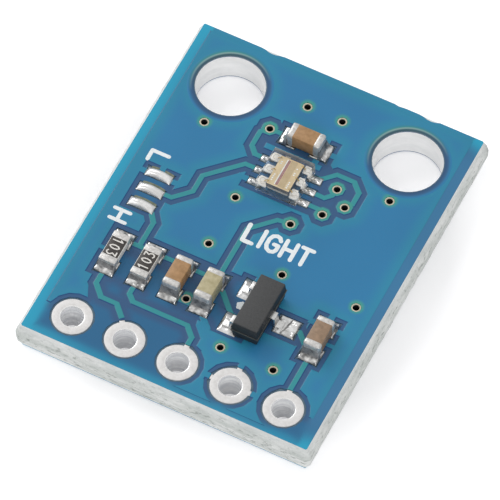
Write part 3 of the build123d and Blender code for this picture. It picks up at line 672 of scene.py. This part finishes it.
def laminate_piece():
    """The laminate with its scored slopes, the web between them torn and uneven."""
    shape = copy_of("laminate")
    bmesh.ops.dissolve_limit(shape, angle_limit=math.radians(0.5), verts=shape.verts, edges=shape.edges)
    cut_grid(shape, 0.4)
    web = shape.verts.layers.float.new("torn_web")
    for vert in shape.verts:
        x, y, z = vert.co
        beyond = Vector((max(0.0, abs(x) - HALF_WIDTH) * (1 if x > 0 else -1),
                         max(0.0, y - BACK_EDGE) - max(0.0, FRONT_EDGE - y), 0))
        if beyond.length < SCORE_START:
            continue
        vert[web] = 1.0 if beyond.length > WEB_START else 0.0
        torn = 0.5 + 0.5 * lumps(x + y, z * 3, 0.5, 1.0)
        vert.co -= beyond.normalized() * 0.05 * torn
        vert.co.z += 0.03 * lumps(x - y, z * 2, 0.5, 5.0)
    shape.normal_update()
    for face in shape.faces:
        # flat faces away from the broken back edge take the painted shade of the laminate's face
        flat_face = abs(face.normal.z) > 0.95 and all(
            abs(v.co.z - LAMINATE_HIGH) < 0.01 or abs(v.co.z - LAMINATE_LOW) < 0.01 for v in face.verts)
        middle = face.calc_center_median()
        # the mounting holes' walls take their painted light
        drilled = any((middle.xy - Vector(hole)).length < MOUNT_R + 0.02 for hole in MOUNTS)
        broken_edge = middle.y > BACK_EDGE - 0.3
        face.material_index = 2 if drilled else 1 if flat_face and not broken_edge else 0
    return new_piece("laminate_core", shape, [laminate_finish, face_painted_shade_finish, drilled_wall_painted_light_finish],
                     ["laminate"], 30.0)


def via_rings():
    """Vias: a thin cream ring, proud of the mask, round a hole painted black as shade."""
    shape = bmesh.new()
    inside = VIA_HOLE_R - 0.002
    outside = VIA_HOLE_R + 0.02
    ring = [(VIA_HOLE_R, 1.50), (VIA_HOLE_R, 1.575), (VIA_HOLE_R + 0.012, 1.592), (VIA_RING_R - 0.02, 1.592),
            (VIA_RING_R, 1.580), (VIA_RING_R, 1.55), (outside, 1.50)]
    barrel = [(0.0, 0.03), (inside, 0.03), (inside, 1.555), (outside, 1.555), (outside, 0.02), (0.0, 0.02)]
    for via in VIAS:
        add_turned(shape, ring, via, 28)
        # the barrel, painted near black as shade
        add_turned(shape, barrel, via, 14, 1)
    new_piece("via_rings", shape, [via_finish, barrel_painted_shade_finish], ["via_barrels"])


# Header holes: name, place along the row and the ways that tracks leave the ring, in degrees
SLEEVES = (("interrupt", -5.08, ()), ("data", -2.54, (124,)), ("clock", 0.0, (90,)),
           ("ground", 2.54, (90, 2, 178)), ("input", 5.08, (99,)))
RING_R = 0.90
HOLE_R = 0.51


def header_ring(name, x, spurs):
    """A broad matt ring on each face, a plated wall between, and a spur of tin on each track."""
    shape = bmesh.new()
    roll = HOLE_R + 0.012
    flat = HOLE_R + 0.045
    back = HOLE_R + 0.04
    profile = [(HOLE_R, 0.03), (HOLE_R, 1.565), (roll, 1.583), (flat, 1.590), (RING_R - 0.05, 1.588),
               (RING_R - 0.012, 1.580), (RING_R, 1.552), (back, 1.549), (back, 0.051), (RING_R, 0.048),
               (RING_R - 0.012, 0.020), (flat, 0.010), (roll, 0.017), (HOLE_R, 0.03)]
    add_turned(shape, profile, (x, 0), 64)
    for vert in shape.verts:
        out = Vector((vert.co.x - x, vert.co.y, 0))
        ragged = 0.006 * lumps(vert.co.x, vert.co.y, 0.16, x)
        if out.length < HOLE_R + 0.02 and vert.co.z > LAMINATE_HIGH:
            vert.co += out.normalized() * max(0.0, ragged)
        if vert.co.z > LAMINATE_HIGH:
            vert.co.z += 0.002 * lumps(vert.co.x, vert.co.y, 0.3, x + 3)
    for angle in spurs:
        spur = bmesh.new()
        add_block(spur, (RING_R - 0.10, -0.12, 1.552), (RING_R + 0.065, 0.12, 1.584), 0.012)
        turn = Matrix.Translation((x, 0, 0)) @ Matrix.Rotation(math.radians(angle), 4, "Z")
        add_shape(shape, placed(spur, turn))
    # faces in the hole take the wall's painted light, those on the roll into it the lip's painted highlight
    for face in shape.faces:
        middle = face.calc_center_median()
        out = Vector((middle.x - x, middle.y)).length
        face.material_index = 1 if out < HOLE_R + 0.004 else 2 if out < flat else 0
    new_piece("header_ring_" + name, shape, [tin_finish, hole_wall_painted_light_finish, lip_painted_highlight_finish],
              ["header_sleeve_" + name])


mask_piece("mask_top_film", "solder_mask_top", BOARD_TOP, 1)
mask_piece("mask_under_film", "solder_mask_under", 0.0, -1)
hole_rims()
laminate_piece()
via_rings()
for name, x, spurs in SLEEVES:
    header_ring(name, x, spurs)


# Chip parts

TERMINAL_L = 0.34
CHIP_HALF = 0.80
CHIP_REACH = 0.365
CLIMB_REACH = 0.14
CHIP_SEAT = 1.605
# Half widths of an end cap, the core between the caps and the solder
CAP_W = 0.40
CORE_W = 0.385
HEAP_W = 0.45


def chip_turn(node):
    """Matrix from a chip part's own frame (long axis along Y, middle at the seat) to the board."""
    low, high = node_box(node + "_terminals")
    middle = (low + high) / 2
    turn = Matrix.Rotation(math.radians(90), 4, "Z") if high.x - low.x > high.y - low.y else Matrix()
    return Matrix.Translation((middle.x, middle.y, 0)) @ turn, high.z


def end_caps(top, round_mm):
    """Two dipped end caps, a touch fatter than the core and not quite square."""
    shape = bmesh.new()
    for end in (-1, 1):
        low, high = span(end, CHIP_HALF, CHIP_HALF - TERMINAL_L)
        add_block(shape, (-CAP_W, low, CHIP_SEAT), (CAP_W, high, top), round_mm, 3)
    return shape


def chip_solder(top, climb, seed):
    """Solder that wets both pads and climbs each end, with bright heaped corners at the toe."""
    shape = bmesh.new()
    for end in (-1, 1):
        def height(u, v, end=end):
            """The fillet past the chip's end: the climb, the broad toe and the thin rim."""
            along = v if end > 0 else 1 - v
            across = abs(2 * u - 1)
            toe = 0.045 + 0.055 * math.exp(-((along - 0.78) / 0.18) ** 2) * (0.35 + 0.65 * across ** 3)
            rise = climb * (1 - along) ** 2.4 * (1 - 0.35 * across ** 4)
            drop = 1 - max(0.0, (along - 0.84) / 0.16) ** 2 * 0.85
            side = 1 - 0.75 * max(0.0, (across - 0.90) / 0.10) ** 2
            rough = 0.020 * lumps(u * 3 + seed, v * 2, 0.5, end)
            return PAD_Z + max(0.004, (toe + rise + rough) * drop * side)

        def beside(u, v):
            """The film beside the cap, a little higher along its two sides."""
            across = abs(2 * u - 1)
            return PAD_Z + (0.018 if across < 0.88 else 0.030 * (1 - (across - 0.88) / 0.12) + 0.004)

        low, high = span(end, CHIP_HALF - 0.02, CHIP_HALF + CHIP_REACH)
        add_heap(shape, (-HEAP_W, low), (HEAP_W, high), (20, 28), height, PAD_Z)
        low, high = span(end, CHIP_HALF - TERMINAL_L - 0.06, CHIP_HALF - 0.02)
        add_heap(shape, (-HEAP_W, low), (HEAP_W, high), (16, 4), beside, PAD_Z)
    return shape


def ceramic_core(top, round_mm):
    """The ceramic between the end caps, which runs on inside them."""
    shape = bmesh.new()
    add_block(shape, (-CORE_W, 0.03 - CHIP_HALF, CHIP_SEAT + 0.012), (CORE_W, CHIP_HALF - 0.03, top - 0.012),
              round_mm, 2)
    return shape


def chip_pieces(name, finish, climb_share, round_mm, seed):
    """The core, end caps and solder of one chip part."""
    turn, top = chip_turn(name)
    core = placed(ceramic_core(top, round_mm * 0.7), turn)
    new_piece(name + "_core", core, [finish], [name + "_ceramic"])
    caps = placed(end_caps(top, round_mm), turn)
    new_piece(name + "_caps", caps, [terminal_finish], [name + "_terminals"])
    solder = chip_solder(top, climb_share * (top - PAD_Z), seed)
    for face in solder.faces:
        middle = face.calc_center_median()
        climbs = abs(middle.y) < CHIP_HALF + CLIMB_REACH and middle.z > PAD_Z + 0.09
        face.material_index = 1 if climbs else 0
    placed(solder, turn)
    new_piece(name + "_fillets", solder, [solder_finish, climb_finish], [name + "_solder"], 85.0)
    return turn, top


chip_pieces("output_capacitor", orange_finish, 0.66, 0.10, 1.0)
chip_pieces("bulk_capacitor", khaki_finish, 0.66, 0.10, 2.3)
chip_pieces("input_capacitor", brown_finish, 0.66, 0.10, 3.1)
chip_pieces("sensor_capacitor", orange_finish, 0.62, 0.10, 4.7)

# Strokes of each figure, in a frame 0.6 wide and 1 high
FIGURES = {
    "0": [[(0.30, 1.0), (0.08, 0.82), (0.0, 0.5), (0.08, 0.18), (0.30, 0.0), (0.52, 0.18), (0.60, 0.5),
           (0.52, 0.82), (0.30, 1.0)]],
    "1": [[(0.05, 0.78), (0.30, 1.0), (0.30, 0.0)]],
    "3": [[(0.02, 1.0), (0.58, 1.0), (0.28, 0.60), (0.52, 0.46), (0.58, 0.26), (0.45, 0.06), (0.22, 0.0),
           (0.0, 0.10)]],
    "G": [[(0.60, 0.80), (0.48, 0.96), (0.30, 1.0), (0.10, 0.90), (0.0, 0.68), (0.0, 0.32), (0.10, 0.10),
           (0.30, 0.0), (0.50, 0.05), (0.60, 0.20), (0.60, 0.48), (0.36, 0.48)]],
    "H": [[(0.0, 0.0), (0.0, 1.0)], [(0.6, 0.0), (0.6, 1.0)], [(0.0, 0.5), (0.6, 0.5)]],
    "I": [[(0.15, 0.0), (0.15, 1.0)]],
    "L": [[(0.0, 1.0), (0.0, 0.0), (0.55, 0.0)]],
    "T": [[(0.0, 1.0), (0.62, 1.0)], [(0.31, 1.0), (0.31, 0.0)]],
}


def add_stroke(shape, points, width, flat):
    """One inked line: round rods between the points with balls at them, pressed nearly flat."""
    part = bmesh.new()
    for point in points:
        bmesh.ops.create_uvsphere(part, u_segments=12, v_segments=6, radius=width / 2,
                                  matrix=Matrix.Translation((*point, 0)))
    for a, b in zip(points, points[1:]):
        a, b = Vector((*a, 0)), Vector((*b, 0))
        turn = (b - a).to_track_quat("Z", "Y").to_matrix().to_4x4()
        bmesh.ops.create_cone(part, cap_ends=False, segments=12, radius1=width / 2, radius2=width / 2,
                              depth=(b - a).length, matrix=Matrix.Translation((a + b) / 2) @ turn)
    bmesh.ops.scale(part, vec=(1, 1, flat / width * 2), verts=part.verts)
    add_shape(shape, part)


def lettering(text, height, width, steps, stroke, flat):
    """A line of generic letters, starting at the origin, with the step after each one."""
    shape = bmesh.new()
    at = 0.0
    for letter, step in zip(text, steps):
        for line in FIGURES[letter]:
            add_stroke(shape, [(at + x * width / 0.6, y * height) for x, y in line], stroke, flat)
        at += step
    return shape


def resistor(name, seed, quarter):
    """A chip resistor: ceramic, end caps and solder, its dark glaze and the code printed on it."""
    turn, top = chip_pieces(name, alumina_finish, 0.66, 0.035, seed)
    glaze = bmesh.new()
    add_block(glaze, (-0.36, -0.48, top - 0.03), (0.36, 0.48, top + 0.002), 0.014)
    new_piece(name + "_glaze", placed(glaze, turn), [overcoat_finish], [name + "_overcoat"])
    code = lettering("103", 0.46, 0.19, (0.33, 0.33, 0.33), 0.062, 0.005)
    start_at = Matrix.Translation((0, 0, top + 0.003)) @ Matrix.Rotation(quarter * math.pi / 2, 4, "Z")
    code = placed(code, turn @ start_at @ Matrix.Translation((-0.42, -0.23, 0)))
    new_piece(name + "_code", code, [code_finish])


resistor("data_pull_up", 5.2, -1)
resistor("clock_pull_up", 6.6, 1)


# The regulator

REG_LEAN = math.tan(math.radians(8))
# The parting line's flash stands out a little, just below the middle
FLASH_OUT = 0.008
FLASH_HIGH = 0.012
FLASH_LOW = 0.030


def regulator_moulding():
    """A black moulding, its four sides drafted both ways from the parting line."""
    low, high = node_box("regulator_body")
    middle = (low + high) / 2
    shape = bmesh.new()
    add_block(shape, low, high)
    cut(shape, (0, 0, middle.z), (0, 0, 1))
    for vert in shape.verts:
        away = abs(vert.co.z - middle.z) * REG_LEAN
        vert.co.x -= math.copysign(away, vert.co.x - middle.x)
        vert.co.y -= math.copysign(away, vert.co.y - middle.y)
    edges = [edge for edge in shape.edges
             if abs((edge.verts[0].co.z + edge.verts[1].co.z) / 2 - middle.z) > 0.1]
    round_edges(shape, edges, 0.045, 3)
    shape.normal_update()
    # the top takes the moulding's own finish, the sides and bevels its painted shade
    for face in shape.faces:
        face.material_index = 0 if face.normal.z > 0.3 and face.calc_center_median().z > middle.z + 0.3 else 1
    flash = bmesh.new()
    add_block(flash, (low.x - FLASH_OUT, low.y - FLASH_OUT, middle.z - FLASH_LOW),
              (high.x + FLASH_OUT, high.y + FLASH_OUT, middle.z - FLASH_HIGH))
    for face in flash.faces:
        face.material_index = 2
    add_shape(shape, flash)
    new_piece("regulator_moulding", shape, [moulding_finish, draft_painted_shade_finish, flash_finish],
              ["regulator_body"], 40.0)


def regulator_pin(name):
    """One bent lead, as the CAD has it, with its sheared edges rounded."""
    shape = copy_of(f"regulator_{name}_lead")
    bmesh.ops.dissolve_limit(shape, angle_limit=math.radians(1), verts=shape.verts, edges=shape.edges)
    round_edges(shape, [edge for edge in shape.edges if edge.is_manifold and edge.calc_face_angle(0) > 0.5],
                0.015, 2)
    new_piece(f"regulator_{name}_pin", shape, [lead_finish], [f"regulator_{name}_lead"], 50.0)


def pad_heap(rise, edge, seed, rough, groove=0.0):
    """Height of solder over a pad: full in the middle, thin at the rim, with creases."""
    def height(u, v):
        rim = min(u, 1 - u, v, 1 - v) / edge
        body = rise * (1 - (1 - min(1.0, rim)) ** 2.2)
        crease = rough * (lumps(u * 1.7, v * 1.7, 0.5, seed) + 0.4 * lumps(u * 4, v * 4, 0.5, seed))
        cut = groove * math.exp(-((u - 0.45 - 0.2 * (v - 0.5)) / 0.07) ** 2)
        return PAD_Z + max(0.004, body + (crease - cut) * min(1.0, rim))
    return height


def regulator_fillets():
    """Solder on the two pads at the left and the broad one at the right."""
    shape = bmesh.new()
    for y in (2.71, 4.61):
        add_heap(shape, (0.77, y - 0.45), (1.60, y + 0.45), (18, 18), pad_heap(0.060, 0.20, y, 0.035), PAD_Z)
    add_heap(shape, (2.90, 3.28), (3.90, 4.20), (26, 24), pad_heap(0.085, 0.10, 9.0, 0.045, 0.05), PAD_Z)
    new_piece("regulator_fillets", shape, [crumpled_finish], ["regulator_solder"], 50.0)


regulator_moulding()
for name in ("ground", "output", "input"):
    regulator_pin(name)
regulator_fillets()


# The light sensor

SENSOR_Y = 10.42
SENSOR_PITCH = 0.65
SENSOR_FEET = [(side, SENSOR_Y + SENSOR_PITCH * row, row) for side in (-1, 1) for row in (-1, 0, 1)]
WINDOW_LEAN = 1 - 0.025
LEAD_Z = 1.605
# The raised pads of the lead frame, and where the foot outside the moulding begins
PAD_LOW = LEAD_Z + 0.20
PAD_HIGH = LEAD_Z + 0.30
PAD_END = 0.93
FOOT_START = 0.965
BEAD_X = 0.745


def sensor_window():
    """The clear moulding: flat on top, its sides drafted and its edges a little rounded."""
    low, high = node_box("sensor_resin")
    shape = bmesh.new()
    add_block(shape, low, high)
    for vert in shape.verts:
        if vert.co.z > low.z + 0.1:
            vert.co.x *= WINDOW_LEAN
            vert.co.y = SENSOR_Y + (vert.co.y - SENSOR_Y) * WINDOW_LEAN
    round_edges(shape, shape.edges[:], 0.03, 3)
    shape.normal_update()
    for face in shape.faces:
        upright = 1 if face.normal.y > 0.5 else 2
        face.material_index = 0 if abs(face.normal.z) > 0.9 else upright
    new_piece("sensor_window", shape, [resin_finish, side_finish, front_finish], ["sensor_resin"],
              40.0)


def add_pad(shape, low, high, corner, soft):
    """A stamped pad: its upright corners well rounded, its rims a little."""
    part = bmesh.new()
    add_block(part, low, high)
    upright = [e for e in part.edges if abs(e.verts[0].co.z - e.verts[1].co.z) > 0.5 * (high[2] - low[2])]
    round_edges(part, upright, corner, 5)
    rims = [e for e in part.edges if abs(e.verts[0].co.z - e.verts[1].co.z) < 1e-5]
    round_edges(part, rims, soft, 2)
    add_shape(shape, part)


def sensor_lead_frame():
    """Six leads: a pad with the ring of its bond inside the moulding, a bend down and a foot outside."""
    shape = bmesh.new()
    bead = [(0.105, LEAD_Z + 0.28), (0.108, LEAD_Z + 0.303), (0.125, LEAD_Z + 0.303), (0.128, LEAD_Z + 0.28),
            (0.105, LEAD_Z + 0.28)]
    for side, y, _ in SENSOR_FEET:
        low, high = span(side, 0.53 if side < 0 else 0.57, PAD_END)
        add_pad(shape, (low, y - 0.21, PAD_LOW), (high, y + 0.21, PAD_HIGH), 0.07, 0.03)
        add_turned(shape, bead, (side * BEAD_X, y), 24, 2)
        low, high = span(side, 0.87, 0.96)
        add_block(shape, (low, y - 0.13, LEAD_Z + 0.01), (high, y + 0.13, LEAD_Z + 0.28), 0.02)
        low, high = span(side, 0.88, 1.26)
        add_block(shape, (low, y - 0.10, LEAD_Z), (high, y + 0.10, LEAD_Z + 0.060), 0.025)
    for face in shape.faces:
        if abs(face.calc_center_median().x) > FOOT_START:
            face.material_index = 1
    new_piece("sensor_lead_frame", shape, [frame_finish, lead_finish, coined_finish],
              ["sensor_leads"], 50.0)


def sensor_die_paddle():
    """The plate that the die stands on, with a tab at the back."""
    shape = bmesh.new()
    add_pad(shape, (-0.50, 9.62, PAD_LOW), (0.50, 11.22, PAD_HIGH), 0.06, 0.02)
    add_block(shape, (-0.40, 11.16, LEAD_Z + 0.21), (-0.16, 11.34, LEAD_Z + 0.29), 0.02)
    new_piece("sensor_die_paddle", shape, [coined_finish], ["sensor_paddle"], 50.0)


def sensor_die():
    """The die, and on its face a metal stripe left of the middle, bond pads and a darker half."""
    low, high = node_box("sensor_die")
    deep = high.z - 0.015
    shape = bmesh.new()
    add_block(shape, low, (high.x, high.y, high.z - 0.010))
    shape.normal_update()
    for face in shape.faces:
        face.material_index = 0 if face.normal.z > 0.5 else 1
    new_piece("sensor_die_block", shape, [die_finish, sawn_finish], ["sensor_die"])
    shape = bmesh.new()
    add_block(shape, (-0.16, low.y + 0.09, deep), (-0.05, high.y - 0.09, high.z))
    new_piece("sensor_die_stripe", shape, [stripe_finish])
    shape = bmesh.new()
    add_block(shape, (-0.215, low.y + 0.09, deep), (-0.17, high.y - 0.07, high.z))
    for x, gaps in ((-0.40, (0.22, 0.32, 0.42, 0.52, 1.14, 1.24)),
                    (0.36, (0.12, 0.22, 0.32, 0.42, 0.84, 0.94, 1.18))):
        for gap in gaps:
            add_block(shape, (x - 0.035, low.y + gap, deep), (x + 0.035, low.y + gap + 0.06, high.z))
    new_piece("sensor_die_pads", shape, [dash_finish])
    shape = bmesh.new()
    add_block(shape, (-0.03, low.y + 0.05, deep), (0.27, high.y - 0.05, high.z - 0.005))
    new_piece("sensor_die_field", shape, [field_finish])


def sensor_fillets():
    """Solder drawn up round each foot and forked at its toe."""
    shape = bmesh.new()
    for side, y, row in SENSOR_FEET:
        def toe(u, v, side=side, row=row):
            """The solder's height: a hump over the foot, cut down the middle at its far end."""
            along = u if side > 0 else 1 - u
            across = abs(2 * v - 1)
            body = 0.075 + 0.055 * math.exp(-((along - 0.55) / 0.22) ** 2)
            body = min(0.125, body + 0.014 * lumps(u * 2, v * 2, 0.4, row))
            fork = 0.06 * math.exp(-((across - 0.05) / 0.22) ** 2) * max(0.0, (along - 0.62) / 0.38)
            round_off = 1 - max(0.0, (along - 0.6) / 0.4) ** 2
            narrow = min(1.0, across / (1 - 0.5 * along ** 3))
            return PAD_Z + max(0.002, (body - fork) * round_off * (1 - narrow ** 2.5))
        low, high = span(side, PAD_END, 1.45)
        half = 0.115 if side < 0 else 0.14
        add_heap(shape, (low, y - half), (high, y + half), (18, 12), toe, PAD_Z, 0.0)
    new_piece("sensor_fillets", shape, [wetted_finish], ["sensor_solder"], 70.0)


sensor_window()
sensor_lead_frame()
sensor_die_paddle()
sensor_die()
sensor_fillets()


# The address jumper

JUMPER_ROWS = (8.165, 7.315, 6.465)
JUMPER_END = -4.42
# The middle and half length of a pad, and how far it bows
JUMPER_X = -5.01
JUMPER_HALF = 0.60
BOW_RISE = 0.07


def bow(shape):
    """Bends the jumper's pads, which lie along X, towards the back in their middle."""
    for vert in shape.verts:
        vert.co.y += BOW_RISE * (1 - ((vert.co.x - JUMPER_X) / JUMPER_HALF) ** 2) - BOW_RISE / 2


def jumper_domes():
    """Three long domes of solder, each a little fuller at one end, with a groove along the front."""
    shape = bmesh.new()
    for i, y in enumerate(JUMPER_ROWS):
        def dome(u, v, i=i):
            """The dome's height over its pad."""
            across = abs(2 * v - 1)
            ends = min(1.0, min(u, 1 - u) / 0.16)
            arch = 0.45 + 0.55 * math.sin(math.pi * share(u + 0.03 * i - 0.03))
            body = 0.165 * arch * (1 - across ** 3.0) ** 0.8 * (1 - (1 - ends) ** 2.4)
            return PAD_Z + max(0.004, body - 0.03 * math.exp(-((v - 0.32) / 0.08) ** 2) * ends
                               + 0.006 * lumps(u * 3, v, 0.6, i) * (1 - across))
        add_heap(shape, (-5.60, y - 0.20), (JUMPER_END, y + 0.20), (28, 16), dome, PAD_Z)
    bow(shape)
    new_piece("jumper_domes", shape, [heaped_finish], ["jumper_solder"], 70.0)


def jumper_flux():
    """A film of flux behind each dome, down to the laminate at its rims."""
    shape = bmesh.new()
    for i, y in enumerate(JUMPER_ROWS):
        def film(u, v, i=i):
            """The film's top, uneven and thinner at the rims."""
            thin = 0.006 * lumps(u * 3, v, 0.4, 7 + i)
            return 1.5985 + thin - 0.02 * max(0.0, abs(2 * u - 1) - 0.75) - 0.02 * max(0.0, v - 0.8)
        add_heap(shape, (-5.50, y + 0.10), (JUMPER_END, y + 0.33), (24, 8), film, 1.556, 0.0)
    bow(shape)
    new_piece("jumper_flux", shape, [flux_finish])


jumper_domes()
jumper_flux()


# Printed marks

INK_Z = BOARD_TOP - 0.004
INK_FLAT = 0.009
# The jumper's two letters lie on their sides: stroke width, then the strokes
JUMPER_MARKS = (
    ("print_jumper_low", 0.21, [[(-5.07, 9.215), (-5.87, 9.215), (-5.87, 8.72)]]),
    ("print_jumper_high", 0.2, [[(-5.98, 5.82), (-5.23, 5.82)], [(-5.98, 5.27), (-5.23, 5.27)],
                                [(-5.62, 5.82), (-5.62, 5.27)]]),
)


def print_marks():
    """White ink: the jumper's letters, a word of plain letters and a five-sided dot at pin one."""
    for name, width, strokes in JUMPER_MARKS:
        shape = bmesh.new()
        for points in strokes:
            add_stroke(shape, points, width, INK_FLAT)
        new_piece(name, placed(shape, Matrix.Translation((0, 0, INK_Z))), [ink_finish])
    shape = lettering("LIGHT", 0.86, 0.50, (0.66, 0.40, 0.76, 0.74, 0.6), 0.215, INK_FLAT)
    new_piece("print_word", placed(shape, Matrix.Translation((-0.32, 6.85, INK_Z))), [ink_finish])
    shape = bmesh.new()
    bmesh.ops.create_circle(shape, cap_ends=True, radius=0.24, segments=5,
                            matrix=Matrix.Translation((1.16, 3.80, BOARD_TOP - 0.012)))
    made = bmesh.ops.extrude_face_region(shape, geom=shape.faces[:])["geom"]
    bmesh.ops.translate(shape, vec=(0, 0, 0.016),
                        verts=[v for v in made if isinstance(v, bmesh.types.BMVert)])
    new_piece("print_pin_one", shape, [ink_finish])


print_marks()

# What keeps its CAD shape gets its own finish
for name, node in nodes.items():
    node.data.materials.clear()
    node.data.materials.append(wire_finish if name == "sensor_bond_wires" else pad_finish)


# Studio

def add_camera():
    """The camera at the photograph's viewing angle."""
    turn = Matrix(CAMERA_ROWS)
    origin = Vector((0, HEADER_Y, BOARD_TOP))
    centre = (origin - turn.transposed() @ CAMERA_SHIFT) * MM
    pose = (turn.transposed() @ Matrix.Diagonal((1, -1, -1))).to_4x4()
    pose.translation = centre
    data = bpy.data.cameras.new("photo_camera")
    data.sensor_width = SENSOR_MM
    data.lens = FOCAL_PX * SENSOR_MM / PHOTO_PX
    data.clip_start = 0.01
    data.clip_end = 10
    camera = put("photo_camera", data)
    camera.matrix_world = pose
    bpy.context.scene.camera = camera


def add_light(name, place, size, power):
    """A square soft lamp that faces the middle of the board."""
    data = bpy.data.lights.new(name, "AREA")
    data.shape = "SQUARE"
    data.size = size
    data.energy = power
    lamp = put(name, data)
    lamp.location = place
    lamp.rotation_euler = (-Vector(place)).to_track_quat("-Z", "Y").to_euler()


def add_surroundings():
    """A white studio, dimmer at the horizon than overhead."""
    world = bpy.data.worlds.new("studio")
    bpy.context.scene.world = world
    world.use_nodes = True
    tree = world.node_tree
    backdrop = tree.nodes["Background"]
    backdrop.inputs["Color"].default_value = (1, 1, 1, 1)
    aim = add_node(tree, "ShaderNodeTexCoord").outputs["Generated"]
    up = add_node(tree, "ShaderNodeSeparateXYZ", {}, Vector=aim).outputs["Z"]
    ceiling = add_node(tree, "ShaderNodeMapRange", {"From Max": 0.8, "To Min": 0.25, "To Max": 0.80},
                       Value=up)
    feed(tree, backdrop, Strength=ceiling.outputs[0])


def white_paper():
    """Matt white paper, lifted to the photograph's white where it is looked at."""
    material, tree, shader, place = start("white_paper", Roughness=0.9, Base_Color=linear("#E4E4E6"),
                                          Emission_Color=(1, 1, 1, 1))
    rays = add_node(tree, "ShaderNodeLightPath").outputs
    seen = add_node(tree, "ShaderNodeMath", {"operation": "ADD"},
                    (rays["Is Camera Ray"], rays["Is Glossy Ray"]))
    seen_or_through = add_node(tree, "ShaderNodeMath", {"operation": "ADD", "use_clamp": True},
                               (seen.outputs[0], rays["Is Transmission Ray"]))
    # the paper seen through the mounting holes stays a little greyer, as in the photo
    # the lift is weaker under the board: painted shade on the paper there
    far = add_node(tree, "ShaderNodeVectorMath", {"operation": "LENGTH"}, Vector=place)
    open_paper = add_node(tree, "ShaderNodeMapRange", {"From Min": 0.0085, "From Max": 0.0105, "To Min": 0.30,
                                                       "To Max": 0.45}, Value=far.outputs["Value"])
    lift = add_node(tree, "ShaderNodeMath", {"operation": "MULTIPLY"},
                    (seen_or_through.outputs[0], open_paper.outputs[0]))
    feed(tree, shader, Emission_Strength=lift.outputs[0])
    # from below the paper is clear and lets the lamp under it through, so that the underside can be seen
    below = add_node(tree, "ShaderNodeNewGeometry").outputs["Backfacing"]
    clear = add_node(tree, "ShaderNodeMath", {"operation": "MAXIMUM"}, (below, rays["Is Shadow Ray"]))
    unseen = add_node(tree, "ShaderNodeBsdfTransparent")
    sided = add_node(tree, "ShaderNodeMixShader", {},
                     (clear.outputs[0], shader.outputs[0], unseen.outputs[0]))
    feed(tree, tree.nodes["Material Output"], Surface=sided.outputs[0])
    return material


def add_floor():
    """A sheet of paper just under the board."""
    shape = bmesh.new()
    bmesh.ops.create_grid(shape, x_segments=1, y_segments=1, size=0.5)
    mesh = bpy.data.meshes.new("floor")
    shape.to_mesh(mesh)
    shape.free()
    mesh.materials.append(white_paper())
    floor = put("floor", mesh)
    floor.location.z = cad_bounds[0][2] - 0.01 * MM


bpy.context.scene.view_settings.view_transform = "Standard"
add_surroundings()
add_camera()
add_light("key", (-0.30, 0.16, 0.24), 0.25, 0.60)
add_light("front_fill", (0.18, -0.31, 0.20), 0.20, 0.28)
add_light("under_fill", (0.0, 0.0, -0.40), 0.30, 0.50)
add_floor()
